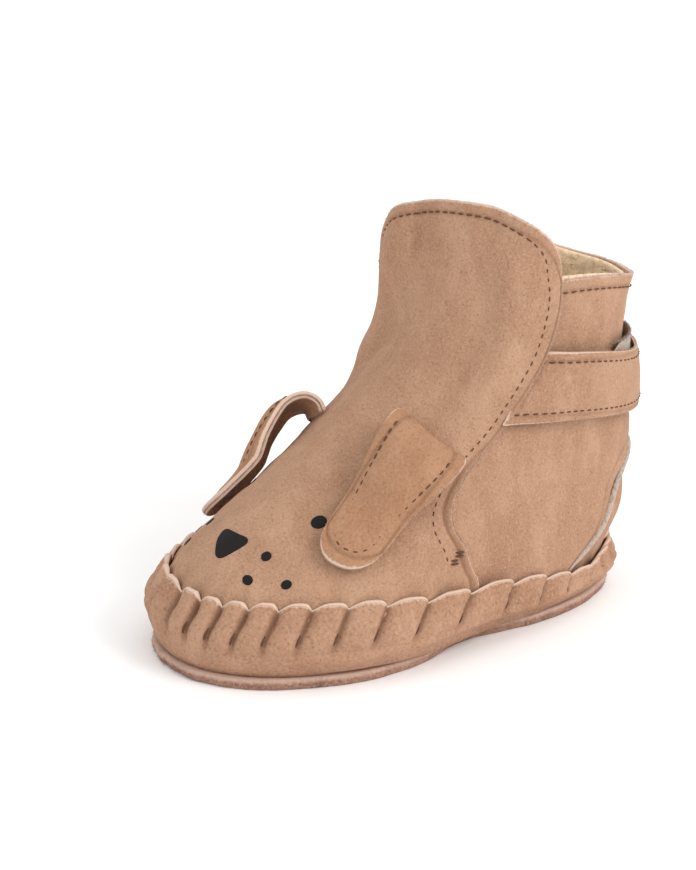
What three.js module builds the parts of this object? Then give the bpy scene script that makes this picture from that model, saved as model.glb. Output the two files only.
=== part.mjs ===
// Baby bootie for a left foot: a soft leather moccasin with a bunny face, two loose ears, a tongue that
// folds forward and two heel straps that close with hook and loop.
// Millimetres, +Z up. The toe points to -Y, the heel to +Y and the outer side of the foot to +X.
// The origin is on the floor under the middle of the outsole.

import * as THREE from 'three';
import { mergeVertices } from 'three/addons/utils/BufferGeometryUtils.js';

// Sole
const soleLength = 132;
const ballWidth = 69.6;
const heelWidth = 56;
const waistCut = 3.5;
const outsoleThickness = 3;
const midsoleThickness = 2;
const footbedThickness = 4;

// Upper, measured on the last, which is the body that the leather is shaped over
const lengthMargin = 8;
const widthMargin = 4.6;
const lastShift = 1;
const collarHeight = 92;
const collarDip = 6;
const tongueHeight = 111.6;
const shoulderRise = 1;
const foldHeight = 61;
const upperLift = 2.65;

// Sheet materials and the play between them
const leather = 1.1;
const fleece = 1.9;
const gap = 0.35;
const liningPlay = 0.6;
const wrapPlay = 0.6;
const seamPlay = 0.65;
const film = 0.4;
const tape = 0.5;
const tapePlay = 0.15;

// Gathered wrap around the foot
const wrapThickness = 1.3;
const gatherCount = 36;
const gatherDepth = 0.6;
const wrapLip = 1;
const wrapBulge = 10;
const climbStep = 0.15;
const toeRim = 21.5;
const waistRim = 16.4;
const heelRim = 12.8;
const heelRimRise = 1.5;

// Seams
const sideOverlap = 0.24;
const heelOpening = 39;
const heelPatchTop = 44;
const heelPatchFront = 1.96;

// Straps
const strapWidth = 17;
const outerStrapDrop = 7;
const innerStrapDrop = 3;
const strapHeight = 66;
const strapStandOff = 4.7;
const outerStrapEnd = 3.6;
const innerStrapEnd = 2.95;
const loopEnd = 2;
const hookLength = 34;
const tapeMargin = 1.5;

// Ears and face
const earLength = 38;
const earRootWidth = 24.7;
const earTipWidth = 13.8;
const earArch = 7.5;
const earRootHeight = 53.6;
const earLeather = 0.9;
const noseSize = 5.4;
const eyeSize = 2.5;
const whiskerSize = 1.4;

// The last follows from the sole, and the stack under the foot gives the levels
const lastLength = soleLength - lengthMargin;
const lastWidth = ballWidth - widthMargin;
const wrapFloor = outsoleThickness + gap;
const midsoleFloor = wrapFloor + wrapThickness + gap;
const footbedFloor = midsoleFloor + midsoleThickness + gap;
const seat = footbedFloor + upperLift;
const shaft = collarHeight - seat;

const materials = {
  nubuck: { color: 0xb98a6a, roughness: 0.92, metalness: 0 },
  suede: { color: 0xa77c60, roughness: 0.96, metalness: 0 },
  fleece: { color: 0xeadfc8, roughness: 1, metalness: 0 },
  foam: { color: 0xd9d4c8, roughness: 0.9, metalness: 0 },
  print: { color: 0x1c1614, roughness: 0.45, metalness: 0 },
  hook: { color: 0x8d8478, roughness: 0.8, metalness: 0 },
};

const { PI, abs, sign, sin, cos, sqrt, min, max } = Math;
const lerp = (from, to, share) => from + (to - from) * share;

// Smooth step from 0 at the first value to 1 at the second.
function ease(value, first, second) {
  const share = min(max((value - first) / (second - first), 0), 1);
  return share * share * (3 - 2 * share);
}

// Smooth curve through [x, y] points, with the slope of the neighbours at each one.
function curve(points) {
  const slope = (i) => {
    const before = points[max(i - 1, 0)];
    const after = points[min(i + 1, points.length - 1)];
    return (after[1] - before[1]) / (after[0] - before[0]);
  };
  return (x) => {
    const found = points.findIndex((point) => point[0] > x);
    const i = min(max(found < 0 ? points.length - 2 : found - 1, 0), points.length - 2);
    const [x0, y0] = points[i];
    const [x1, y1] = points[i + 1];
    const width = x1 - x0;
    const t = min(max((x - x0) / width, 0), 1);
    const bend = t * (1 - t);
    return lerp(y0, y1, t * t * (3 - 2 * t)) + width * bend * ((1 - t) * slope(i) - t * slope(i + 1));
  };
}

// Height share h is 0 at the bottom edge of the upper and 1 at the collar.
const levelOf = (z) => (z - seat) / shaft;
const heightOf = (h) => seat + h * shaft;

// Toe and heel profiles and half width of the last, as [height share, share of length or width].
const toeProfile = curve([
  [0, -0.497], [0.049, -0.5], [0.122, -0.488], [0.195, -0.448], [0.28, -0.375], [0.366, -0.286],
  [0.463, -0.19], [0.561, -0.097], [0.659, -0.028], [0.756, 0.024], [0.86, 0.046], [1.049, 0.056],
  [1.268, 0.08],
]);
const heelProfile = curve([
  [0, 0.488], [0.049, 0.5], [0.183, 0.552], [0.366, 0.556], [0.549, 0.548], [0.732, 0.524],
  [0.854, 0.528], [0.976, 0.548], [1.268, 0.597],
]);
const widthProfile = curve([
  [0, 0.485], [0.049, 0.5], [0.146, 0.492], [0.244, 0.469], [0.366, 0.431], [0.488, 0.415],
  [0.61, 0.408], [0.793, 0.415], [0.976, 0.423], [1.268, 0.431],
]);

// How much longer a level step is than the same step along the surface's normal.
function stretch(profile, size, h) {
  const step = 0.01;
  const slope = (profile(h + step) - profile(h - step)) * size / (2 * step * shaft);
  return sqrt(1 + slope * slope);
}

// A point at angle a round the foot (0 at the toe, PI/2 on the outer side, PI at the heel), at height
// share h, and at the distance out from the last. Each level section is a superellipse that is wider
// at the heel half below the ankle.
function onLast(a, h, out = 0) {
  const toe = lastShift + lastLength * toeProfile(h) - out * stretch(toeProfile, lastLength, h);
  const heel = lastShift + lastLength * heelProfile(h) + out * stretch(heelProfile, lastLength, h);
  const half = lastWidth * widthProfile(h) + out * stretch(widthProfile, lastWidth, h);
  const power = 2 / (2.35 - 0.3 * ease(h, 0.12, 0.29) + 0.05 * ease(h, 0.61, 0.98));
  const forward = sign(cos(a)) * abs(cos(a)) ** power;
  const sideways = sign(sin(a)) * abs(sin(a)) ** power;
  const low = 1 - ease(h, 0.12, 0.73);
  const ball = 0.06 * (1 - ease(-forward, -0.6, 0.3));
  const waist = 0.1 * ease(-forward, -0.2, 0.6) + 0.05 * Math.exp(-(((-forward - 0.12) / 0.25) ** 2));
  return new THREE.Vector3(
    half * sideways * (1 + low * (ball - waist)),
    (toe + heel) / 2 - ((heel - toe) / 2) * forward,
    heightOf(h),
  );
}

// Outline of the sole at angle b, pulled in by inset.
function onSole(b, inset = 0) {
  const along = -sign(cos(b)) * abs(cos(b)) ** (2 / 3);
  const narrowing = ease(along, -0.45, 0.35) * (ballWidth - heelWidth) / 2;
  const waist = waistCut * Math.exp(-(((along - 0.1) / 0.22) ** 2));
  const half = ballWidth / 2 - narrowing - waist - inset;
  return new THREE.Vector2(sin(b) * half, along * (soleLength / 2 - inset));
}

// The sole's outline in the direction of a level point, found by halving.
function soleTowards(point, inset) {
  const target = Math.atan2(abs(point.x), -point.y);
  let low = 0;
  let high = PI;
  for (let i = 0; i < 30; i += 1) {
    const middle = (low + high) / 2;
    const spot = onSole(middle, inset);
    if (Math.atan2(spot.x, -spot.y) < target) low = middle;
    else high = middle;
  }
  const spot = onSole((low + high) / 2, inset);
  return new THREE.Vector2(sign(point.x) * spot.x, spot.y);
}

// Moves each vertex of a closed geometry, welds it and turns its faces out.
function warp(geometry, move) {
  const { position, uv } = geometry.attributes;
  const spots = [];
  for (let i = 0; i < position.count; i += 1) {
    spots.push(move(position.getX(i), position.getY(i), position.getZ(i), uv.getX(i), uv.getY(i)));
  }
  spots.forEach((spot, i) => position.setXYZ(i, spot.x, spot.y, spot.z));
  return closed(geometry);
}

function closed(geometry) {
  geometry.deleteAttribute('uv');
  geometry.deleteAttribute('normal');
  const welded = mergeVertices(geometry, 1e-4);
  const corners = [...welded.index.array];
  const faces = [];
  let volume = 0;
  const [a, b, c] = [new THREE.Vector3(), new THREE.Vector3(), new THREE.Vector3()];
  for (let i = 0; i < corners.length; i += 3) {
    const [p, q, r] = corners.slice(i, i + 3);
    if (p !== q && q !== r && r !== p) {
      faces.push([p, q, r]);
      a.fromBufferAttribute(welded.attributes.position, p);
      b.fromBufferAttribute(welded.attributes.position, q);
      c.fromBufferAttribute(welded.attributes.position, r);
      volume += a.dot(b.cross(c));
    }
  }
  welded.setIndex(faces.flatMap(([p, q, r]) => (volume > 0 ? [p, q, r] : [p, r, q])));
  welded.computeVertexNormals();
  return welded;
}

const bootie = new THREE.Group();

function add(name, geometry, material) {
  const mesh = new THREE.Mesh(geometry, new THREE.MeshStandardMaterial(materials[material]));
  mesh.name = name;
  bootie.add(mesh);
}

// A sheet over the last. spot(t, s) gives [angle, height share] for t from -1 to 1 across and s from 0
// to 1 up, and inner and outer give the sheet's two distances from the last there. Crowding from 0 to
// 1 draws the columns towards the two sides.
function sheet(columns, rows, spot, inner, outer, crowding = 1) {
  const box = new THREE.BoxGeometry(1, 1, 1, columns, rows, 1);
  return warp(box, (x, y, z) => {
    const t = lerp(2 * x, sin(PI * x), crowding);
    const [a, h] = spot(t, y + 0.5);
    return onLast(a, h, z > 0 ? outer(a, h, y + 0.5) : inner(a, h, y + 0.5));
  });
}

// 1 in the middle of a rounded end and 0 at its two sides.
const roundEnd = (t, power) => (1 - min(abs(t), 1) ** power) ** (1 / power);

// Side edges of the vamp and tongue, as [height share, angle].
const outerEdge = curve([
  [0, 1.62], [0.122, 1.58], [0.22, 1.48], [0.293, 1.35], [0.366, 1.26], [0.451, 1.23], [0.573, 1.28],
  [0.659, 1.32], [0.756, 1.38], [0.854, 1.42], [0.951, 1.43], [1.049, 1.39],
]);
const innerEdge = curve([
  [0, -1.62], [0.122, -1.58], [0.22, -1.48], [0.293, -1.35], [0.366, -1.26], [0.451, -1.21],
  [0.573, -1.15], [0.732, -1.06], [0.878, -0.92], [1.024, -0.72],
]);
const fold = levelOf(foldHeight);

// The straps' distance from the leg's axis turns lengths round the leg into angles.
const strapRadius = onLast(PI / 2, levelOf(strapHeight), strapStandOff).x;

// Front edges of the quarters lie under the vamp and tongue by the side overlap.
const outerFront = (h) => outerEdge(h) - sideOverlap;
const innerFront = (h) => innerEdge(h) + sideOverlap;

// 0 in the middle of the vamp and tongue and 1 where they lie over a quarter.
function overQuarter(a, h) {
  const clear = a > 0 ? outerFront(h) - a : a - innerFront(h);
  return 1 - ease(clear, 0.04, 0.42);
}
const vampRise = leather + gap;
const tongueRise = leather + gap + fleece + liningPlay;
const vampTop = (a, h) => leather + vampRise * overQuarter(a, h);

// The rear edges of the quarters make an arch over the heel patch, which runs on beneath them.
const archHeight = curve([
  [2.04, seat], [2.14, 15], [2.24, 21], [2.38, 29], [2.52, 34], [2.78, 37.6], [PI, heelOpening],
].map(([a, z]) => [a, levelOf(z)]));
const patchTop = levelOf(heelPatchTop);

// The collar dips towards the heel.
const collarLevel = (a) => 1 - (collarDip / shaft) * ease(abs(a), 1.5, 2.9);
const seam = gap / 60;

function quarterRise(a, h) {
  const under = ease(abs(a), heelPatchFront - 0.36, heelPatchFront - 0.08);
  return (leather + seamPlay) * under * (1 - ease(h, patchTop + 0.02, patchTop + 0.09));
}

function addSole() {
  const corners = 64;
  const slab = (pointAt, floor, depth) => {
    const points = [];
    for (let i = 0; i < corners; i += 1) points.push(pointAt((2 * PI * i) / corners));
    const plate = new THREE.ExtrudeGeometry(new THREE.Shape(points), { depth, bevelEnabled: false });
    plate.translate(0, 0, floor);
    return closed(plate);
  };
  const insideWrap = (b) => onSole(b, wrapThickness + wrapLip + 2 * gap);
  const insideLining = (a) => onLast(a, 0, -fleece - liningPlay - 2 * gap);
  add('outsole', slab((b) => onSole(b), 0, outsoleThickness), 'suede');
  add('foam_midsole', slab(insideWrap, midsoleFloor, midsoleThickness), 'foam');
  add('fleece_footbed', slab(insideLining, footbedFloor, footbedThickness), 'fleece');
}

// Top of the wrap's rim: level round the toe, then falling along the sides to the heel.
const rimLine = curve([
  [0, toeRim], [0.7, toeRim], [1.7, waistRim], [2.2, heelRim], [PI, heelRim + heelRimRise],
]);
const rimHeight = (a) => rimLine(abs(Math.atan2(sin(a), cos(a))));

// One tray of leather: a floor, a wall that leans out over the sole's edge, and a gathered rim.
function addWrap() {
  const clearance = leather + vampRise + wrapPlay + gatherDepth;
  const wall = (a, z, inward) => {
    const crease = gatherDepth * cos(gatherCount * a) * ease(z, wrapFloor, wrapBulge);
    const high = onLast(a, max(levelOf(z), 0), clearance + wrapThickness - inward + crease);
    const low = soleTowards(onLast(a, 0, clearance), wrapLip + inward);
    const share = ease(z, wrapFloor - 1, wrapBulge);
    return new THREE.Vector3(lerp(low.x, high.x, share), lerp(low.y, high.y, share), z);
  };
  // Stops up the outside of the wall and down its inside, as [level at rim height, share inward]. Above
  // the bulge there is one for each climbStep of the shaft, so that the wall follows the last.
  const climbs = Math.ceil((toeRim - wrapBulge) / shaft / climbStep);
  const climb = Array.from({ length: climbs }, (_, i) => (rim) => lerp(wrapBulge, rim, (i + 1) / climbs));
  const stops = [
    [() => wrapFloor, 0], [() => (wrapFloor + wrapBulge) / 2, 0], [() => wrapBulge, 0],
    ...climb.map((level) => [level, 0]), ...climb.toReversed().map((level) => [level, 1]),
    [() => wrapBulge, 1], [() => wrapFloor + wrapThickness, 1],
  ];
  const last = stops.length + 1;
  const profile = [];
  for (let i = 0; i <= last; i += 1) profile.push(new THREE.Vector2(i % last === 0 ? 0 : 1, i));
  add('moccasin_wrap', warp(new THREE.LatheGeometry(profile, gatherCount * 4), (x, y, z, u, v) => {
    const i = Math.round(v * last);
    if (i === 0) return new THREE.Vector3(0, 0, wrapFloor);
    if (i === last) return new THREE.Vector3(0, 0, wrapFloor + wrapThickness);
    const a = 2 * PI * u;
    const [levelAt, inward] = stops[i - 1];
    const level = levelAt(rimHeight(a));
    return wall(a, level, inward * wrapThickness);
  }), 'suede');
}

function addVamp() {
  const top = fold - gap / shaft;
  const leatherSpot = (t, s) => {
    const h = top * s;
    return [lerp(innerEdge(h), outerEdge(h), (t + 1) / 2), h];
  };
  add('vamp', sheet(22, 16, leatherSpot, (a, h) => vampTop(a, h) - leather, vampTop, 0.5), 'nubuck');
  const liningSpot = (t, s) => {
    const h = top * s;
    return [lerp(innerFront(h) + 0.03, outerFront(h) - 0.03, (t + 1) / 2), h];
  };
  add('vamp_lining', sheet(14, 8, liningSpot, () => -fleece - liningPlay, () => -liningPlay, 0), 'fleece');
}

function addQuarters() {
  for (const side of [1, -1]) {
    const front = side > 0 ? outerFront : (h) => -innerFront(h);
    const spot = (t, s) => {
      const round = (side * t + 1) / 2;
      const bottom = archHeight(lerp(1.3, PI, round));
      const h = lerp(bottom, collarLevel(lerp(front(1), PI, round)), s);
      return [side * lerp(front(h), PI - seam, round), h];
    };
    const outer = (a, h) => leather + quarterRise(a, h);
    const name = side > 0 ? 'outer_quarter' : 'inner_quarter';
    add(name, sheet(16, 14, spot, (a, h) => outer(a, h) - leather, outer, 0), 'nubuck');
  }
  const patchSpot = (t, s) => [PI + t * (PI - heelPatchFront), patchTop * s];
  add('heel_patch', sheet(14, 9, patchSpot, () => 0, () => leather, 0), 'nubuck');
  const liningSpot = (t, s) => {
    const around = lerp(outerFront(1), 2 * PI + innerFront(1), (t + 1) / 2);
    const h = s * (collarLevel(around > PI ? 2 * PI - around : around) - gap / shaft);
    return [lerp(outerFront(h) + 0.01, 2 * PI + innerFront(h) - 0.01, (t + 1) / 2), h];
  };
  add('quarter_lining', sheet(34, 14, liningSpot, () => -fleece - liningPlay, () => -liningPlay, 0), 'fleece');
}

// The tongue's outline: side edges up to the shoulder, then a crown that is highest off centre.
function addTongue() {
  const crown = levelOf(tongueHeight);
  const shoulder = levelOf(collarHeight + shoulderRise);
  const peak = 0.25;
  const spotFor = (margin, lower) => (t, s) => {
    const share = (t - peak) / (t > peak ? 1 - peak : 1 + peak);
    const top = lerp(shoulder, crown - margin / shaft, roundEnd(share, t > peak ? 2.1 : 1.2));
    const h = lerp(lower, top, s);
    const side = margin / strapRadius;
    return [lerp(innerEdge(h) + side, outerEdge(h) - side, (t + 1) / 2), h];
  };
  const rise = (a, h) => tongueRise * overQuarter(a, h);
  add('tongue_flap', sheet(18, 10, spotFor(0, fold), rise, (a, h) => leather + rise(a, h)), 'nubuck');
  const under = (a, h) => rise(a, h) - fleece - liningPlay;
  const over = (a, h) => rise(a, h) - liningPlay;
  add('tongue_lining', sheet(18, 10, spotFor(2, fold), under, over), 'fleece');
}

// Straps run round the heel, dip towards its middle and stand off the quarters. One end is rounded.
function strap(columns, start, end, width, drop, standOff, thickness, rounding) {
  const spot = (t, s) => {
    const cut = rounding * (1 - roundEnd(t, 2.2)) / strapRadius;
    const a = lerp(start, end - sign(end - start) * cut, s);
    const line = strapHeight - drop * ease(a > PI ? 2 * PI - a : a, 1.35, 2.7);
    return [a, levelOf(line + (width / 2) * t)];
  };
  return sheet(4, columns, spot, (a) => standOff(a), (a) => standOff(a) + thickness);
}

function addStraps() {
  const narrow = strapWidth - 2 * tapeMargin;
  const round = 7;
  const rootPlay = (gap + 2) / strapRadius;
  const outerRoot = outerEdge(levelOf(strapHeight)) + rootPlay;
  const outerOff = (a) => lerp(strapStandOff - 1.5, strapStandOff, ease(a, outerRoot, outerRoot + 0.3));
  const tapeOff = (a) => outerOff(a) - gap - tape;
  const hookStart = outerStrapEnd - hookLength / strapRadius;
  const dip = outerStrapDrop;
  add('outer_strap', strap(18, outerRoot, outerStrapEnd, strapWidth, dip, outerOff, leather, round), 'nubuck');
  add('outer_strap_lining', strap(8, outerRoot + 0.05, hookStart - 0.02, narrow, dip, tapeOff, tape, 0), 'suede');
  add('hook_tape', strap(9, hookStart, outerStrapEnd - 0.06, narrow, dip, tapeOff, tape, round), 'hook');

  const innerRoot = 2 * PI + innerEdge(levelOf(strapHeight)) - rootPlay;
  const innerThickness = 0.8;
  const loopOff = () => strapStandOff - 2 * (gap + tape) - tapePlay;
  const innerOff = () => loopOff() - gap - innerThickness;
  const innerDip = innerStrapDrop;
  add('inner_strap', strap(14, innerRoot, innerStrapEnd, strapWidth, innerDip, innerOff, innerThickness, round),
    'nubuck');
  add('loop_tape', strap(14, outerStrapEnd + 0.15, loopEnd, strapWidth, innerDip, loopOff, tape, round), 'hook');
}

// Angle and height share of a spot that lies right and up millimetres along the surface from another.
function beside(a, h, right, up) {
  const step = 0.01;
  const across = onLast(a + step, h).distanceTo(onLast(a - step, h)) / (2 * step);
  const along = onLast(a, h + step).distanceTo(onLast(a, h - step)) / (2 * step);
  return [a + right / across, h + up / along];
}

// Direction away from the last at a spot.
function outward(a, h) {
  const step = 0.001;
  const across = onLast(a + step, h).sub(onLast(a - step, h));
  const up = onLast(a, h + step).sub(onLast(a, h - step));
  return across.cross(up).normalize();
}

// Each ear is two leather layers sewn together, rooted across the instep. Its middle line rises from
// the root, arches over and lies down towards the toe, and each layer keeps its distance from that line.
function addEars() {
  const root = [0.815, levelOf(earRootHeight)];
  const lean = 0.565;
  const turn = 0.077;
  const reachAt = curve([
    [0, 0], [0.07, -0.025], [0.15, 0.011], [0.25, 0.118], [0.36, 0.243], [0.51, 0.415], [0.61, 0.52],
    [0.69, 0.6], [0.84, 0.8], [1, 1],
  ]);
  const liftAt = curve([
    [0, 0.11], [0.07, 0.42], [0.15, 0.79], [0.25, 1], [0.36, 0.93], [0.51, 0.69], [0.61, 0.45],
    [0.69, 0.29], [0.84, 0.19], [1, 0.17],
  ]);
  const step = 0.01;
  const spotOn = (side, t, s, off) => {
    const round = lerp(0.8, 1, roundEnd(t, 2.4));
    const rising = (liftAt(s + step) - liftAt(s - step)) * earArch;
    const reaching = (reachAt(s + step) - reachAt(s - step)) * earLength * round;
    const size = Math.hypot(rising, reaching);
    const reach = reachAt(s) * earLength * round - (off * rising) / size;
    const lift = liftAt(s) * earArch + (off * reaching) / size;
    const half = lerp(earRootWidth, earTipWidth, min(max(reach / earLength, 0), 1)) / 2;
    const right = t * half * cos(lean) + reach * sin(turn);
    const up = -t * half * sin(lean) - reach * cos(turn);
    const [a, h] = beside(...root, right, up);
    const ground = onLast(side * a, h, vampTop(side * a, h) + gap);
    return ground.addScaledVector(outward(side * a, h), lift);
  };
  const layer = (side, floor) => warp(new THREE.BoxGeometry(1, 1, 1, 8, 16, 1), (x, y, z) => (
    spotOn(side, 2 * x, y + 0.5, z > 0 ? floor + earLeather : floor)
  ));
  for (const side of [1, -1]) {
    const name = side > 0 ? 'outer' : 'inner';
    add(`${name}_ear_lining`, layer(side, 0), 'nubuck');
    add(`${name}_ear`, layer(side, earLeather + gap), 'nubuck');
  }
}

// A thin film pressed on the vamp: a lens whose radius may change with the direction round it.
function pressFilm(name, a, h, radius, detail) {
  const ball = new THREE.SphereGeometry(1, detail, detail / 2);
  add(name, warp(ball, (x, y, z) => {
    const size = radius(Math.atan2(x, z));
    const [angle, level] = beside(a, h, x * size, z * size);
    return onLast(angle, level, vampTop(angle, level) + gap + film * (y + 1) / 2);
  }), 'print');
}

function addFace() {
  const triangle = (angle) => noseSize * (1 + 0.16 * cos(3 * (angle - PI)));
  pressFilm('nose_print', 0, levelOf(31.5), triangle, 14);
  const whiskers = [[0.43, 30.5], [0.42, 25.8], [0.66, 25.6]];
  for (const side of [1, -1]) {
    const name = side > 0 ? 'outer' : 'inner';
    pressFilm(`${name}_eye_print`, side * 0.57, levelOf(37.5), () => eyeSize, 10);
    whiskers.forEach(([a, z], i) => {
      pressFilm(`${name}_whisker_print_${i + 1}`, side * a, levelOf(z), () => whiskerSize, 8);
    });
  }
}

addSole();
addWrap();
addVamp();
addQuarters();
addTongue();
addStraps();
addEars();
addFace();

export default bootie;
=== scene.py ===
# Baby bootie: the looks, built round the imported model.
# Shapes are worked out in millimetres and put into meshes in metres. +Z is up and the toe points to -Y.
import bpy
import bmesh
import numpy as np
from mathutils import Matrix, Vector


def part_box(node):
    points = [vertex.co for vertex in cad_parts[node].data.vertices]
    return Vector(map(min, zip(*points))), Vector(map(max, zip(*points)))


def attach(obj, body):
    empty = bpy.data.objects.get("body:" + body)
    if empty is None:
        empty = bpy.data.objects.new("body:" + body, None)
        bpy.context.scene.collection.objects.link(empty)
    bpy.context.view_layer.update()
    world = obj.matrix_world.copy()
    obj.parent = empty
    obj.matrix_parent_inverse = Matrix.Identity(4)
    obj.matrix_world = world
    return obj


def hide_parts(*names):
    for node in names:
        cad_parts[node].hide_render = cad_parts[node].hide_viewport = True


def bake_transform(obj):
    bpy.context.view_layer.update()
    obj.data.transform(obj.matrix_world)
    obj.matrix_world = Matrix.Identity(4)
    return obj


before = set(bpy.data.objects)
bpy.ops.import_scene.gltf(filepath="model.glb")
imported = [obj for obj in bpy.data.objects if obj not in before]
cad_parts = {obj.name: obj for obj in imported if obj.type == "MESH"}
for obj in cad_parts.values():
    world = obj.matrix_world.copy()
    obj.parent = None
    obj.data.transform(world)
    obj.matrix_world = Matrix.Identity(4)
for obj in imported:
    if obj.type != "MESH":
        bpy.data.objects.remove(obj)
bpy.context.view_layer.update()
print("frame loaded:", len(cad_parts), "nodes")

pi = np.pi
metre = 0.001
scene = bpy.context.scene


def lerp(low, high, share):
    return low + (high - low) * share


# Smooth step: 0 at the first value, 1 at the second, 3s^2 - 2s^3 between.
def ease(value, first, second):
    share = np.clip((value - first) / (second - first), 0, 1)
    return share * share * (3 - 2 * share)


# Smooth line through [x, y] points: a cubic between neighbours, each slope taken across its neighbours.
def curve(points):
    xs, ys = np.array(points, float).T
    before = np.maximum(np.arange(len(xs)) - 1, 0)
    after = np.minimum(np.arange(len(xs)) + 1, len(xs) - 1)
    slopes = (ys[after] - ys[before]) / (xs[after] - xs[before])

    def at(x):
        i = np.clip(np.searchsorted(xs, x, "right") - 1, 0, len(xs) - 2)
        width = xs[i + 1] - xs[i]
        t = np.clip((x - xs[i]) / width, 0, 1)
        bend = t * (1 - t)
        rise = (ys[i + 1] - ys[i]) * t * t * (3 - 2 * t)
        return ys[i] + rise + width * bend * ((1 - t) * slopes[i] - t * slopes[i + 1])
    return at


# 1 in the middle of a rounded end and 0 at its two sides.
def roundEnd(t, power):
    return (1 - np.minimum(np.abs(t), 1) ** power) ** (1 / power)


def unit(vectors):
    return vectors / np.maximum(np.linalg.norm(vectors, axis=-1, keepdims=True), 1e-9)


# Values from -1 to 1 that crowd towards both ends, more so as the share nears 1.
def crowded(count, share):
    return np.sin(np.linspace(-1, 1, count) * pi / 2 * share) / np.sin(pi / 2 * share)


# 1 along a seam that lies in from the edge, falling off to both sides of it.
def seamDip(edge, seamIn, width):
    return np.exp(-((edge - seamIn) / width) ** 2)


# Soft uneven swell: the mean of sine waves in random directions, about -1 to 1, one wave per size.
def swell(points, size, seed, waves=10):
    random = np.random.default_rng(seed)
    ways = unit(random.normal(size=(waves, 3))) * (2 * pi / size) * random.uniform(0.6, 1.7, (waves, 1))
    return np.sin(points @ ways.T + random.uniform(0, 2 * pi, waves)).mean(-1) * 1.8


last = {
    "length": 124, "width": 65, "shift": 1, "seat": 10, "collar": 92,
    "toe": [(0, -0.497), (0.049, -0.5), (0.122, -0.488), (0.195, -0.448), (0.28, -0.375), (0.366, -0.286),
            (0.463, -0.19), (0.561, -0.097), (0.659, -0.028), (0.756, 0.024), (0.86, 0.046), (1.049, 0.056),
            (1.268, 0.08)],
    "heel": [(0, 0.488), (0.049, 0.5), (0.183, 0.552), (0.366, 0.556), (0.549, 0.548), (0.732, 0.524),
             (0.854, 0.528), (0.976, 0.548), (1.268, 0.597)],
    "side": [(0, 0.485), (0.049, 0.5), (0.146, 0.492), (0.244, 0.469), (0.366, 0.431), (0.488, 0.415),
             (0.61, 0.408), (0.793, 0.415), (0.976, 0.423), (1.268, 0.431)],
}
sheets = {"leather": 1.1, "fleece": 1.9, "gap": 0.35, "liningPlay": 0.6, "seamPlay": 0.65, "overlap": 0.24}
shaft = last["collar"] - last["seat"]
toeProfile, heelProfile, sideProfile = (curve(last[key]) for key in ("toe", "heel", "side"))


def levelOf(z):
    return (z - last["seat"]) / shaft


# A level step is longer than one along the surface's normal by sqrt(1 + slope^2).
def stretch(profile, size, h):
    slope = (profile(h + 0.01) - profile(h - 0.01)) * size / (0.02 * shaft)
    return np.sqrt(1 + slope * slope)


# A point at angle a round the foot (0 toe, pi/2 outer side, pi heel), height share h and distance out.
# Each level section is a superellipse between the toe and heel profiles.
def onLast(a, h, out=0.0):
    a, h, out = np.broadcast_arrays(np.asarray(a, float), np.asarray(h, float), np.asarray(out, float))
    size = last["length"]
    toe = last["shift"] + size * toeProfile(h) - out * stretch(toeProfile, size, h)
    heel = last["shift"] + size * heelProfile(h) + out * stretch(heelProfile, size, h)
    half = last["width"] * sideProfile(h) + out * stretch(sideProfile, last["width"], h)
    power = 2 / (2.35 - 0.3 * ease(h, 0.12, 0.29) + 0.05 * ease(h, 0.61, 0.98))
    forward = np.sign(np.cos(a)) * np.abs(np.cos(a)) ** power
    sideways = np.sign(np.sin(a)) * np.abs(np.sin(a)) ** power
    low = 1 - ease(h, 0.12, 0.73)
    ball = 0.06 * (1 - ease(-forward, -0.6, 0.3))
    waist = 0.1 * ease(-forward, -0.2, 0.6) + 0.05 * np.exp(-(((-forward - 0.12) / 0.25) ** 2))
    x = half * sideways * (1 + low * (ball - waist))
    y = (toe + heel) / 2 - (heel - toe) / 2 * forward
    return np.stack([x, y, last["seat"] + h * shaft], -1)


# Direction away from the last: the cross product of the steps round and up.
def outward(a, h, out=0.0):
    step = 1e-3
    across = onLast(a + step, h, out) - onLast(a - step, h, out)
    up = onLast(a, h + step, out) - onLast(a, h - step, out)
    return unit(np.cross(across, up))


# Angle and height share of a spot right and up millimetres along the surface from another.
def beside(a, h, right, up):
    step = 0.01
    across = np.linalg.norm(onLast(a + step, h) - onLast(a - step, h)) / (2 * step)
    along = np.linalg.norm(onLast(a, h + step) - onLast(a, h - step)) / (2 * step)
    return a + right / across, h + up / along


# Outline of the sole at angle b, pulled in by inset.
sole = {"length": 132, "ball": 69.6, "heel": 56, "waistCut": 3.5, "thickness": 3.0}


def onSole(b, inset=0.0):
    along = -np.sign(np.cos(b)) * np.abs(np.cos(b)) ** (2 / 3)
    narrowing = ease(along, -0.45, 0.35) * (sole["ball"] - sole["heel"]) / 2
    waist = sole["waistCut"] * np.exp(-(((along - 0.1) / 0.22) ** 2))
    half = sole["ball"] / 2 - narrowing - waist - inset
    return np.stack([np.sin(b) * half, along * (sole["length"] / 2 - inset)], -1)


# The sole's outline in the direction of level points, read off a fine table of its own angles.
def soleTowards(points, inset):
    b = np.linspace(0, pi, 1500)
    outline = onSole(b, 0.0)
    bearing = np.arctan2(outline[:, 0], -outline[:, 1])
    found = np.interp(np.arctan2(np.abs(points[..., 0]), -points[..., 1]), bearing, b)
    spot = onSole(found, inset)
    spot[..., 0] *= np.where(points[..., 0] < 0, -1, 1)
    return spot


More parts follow.
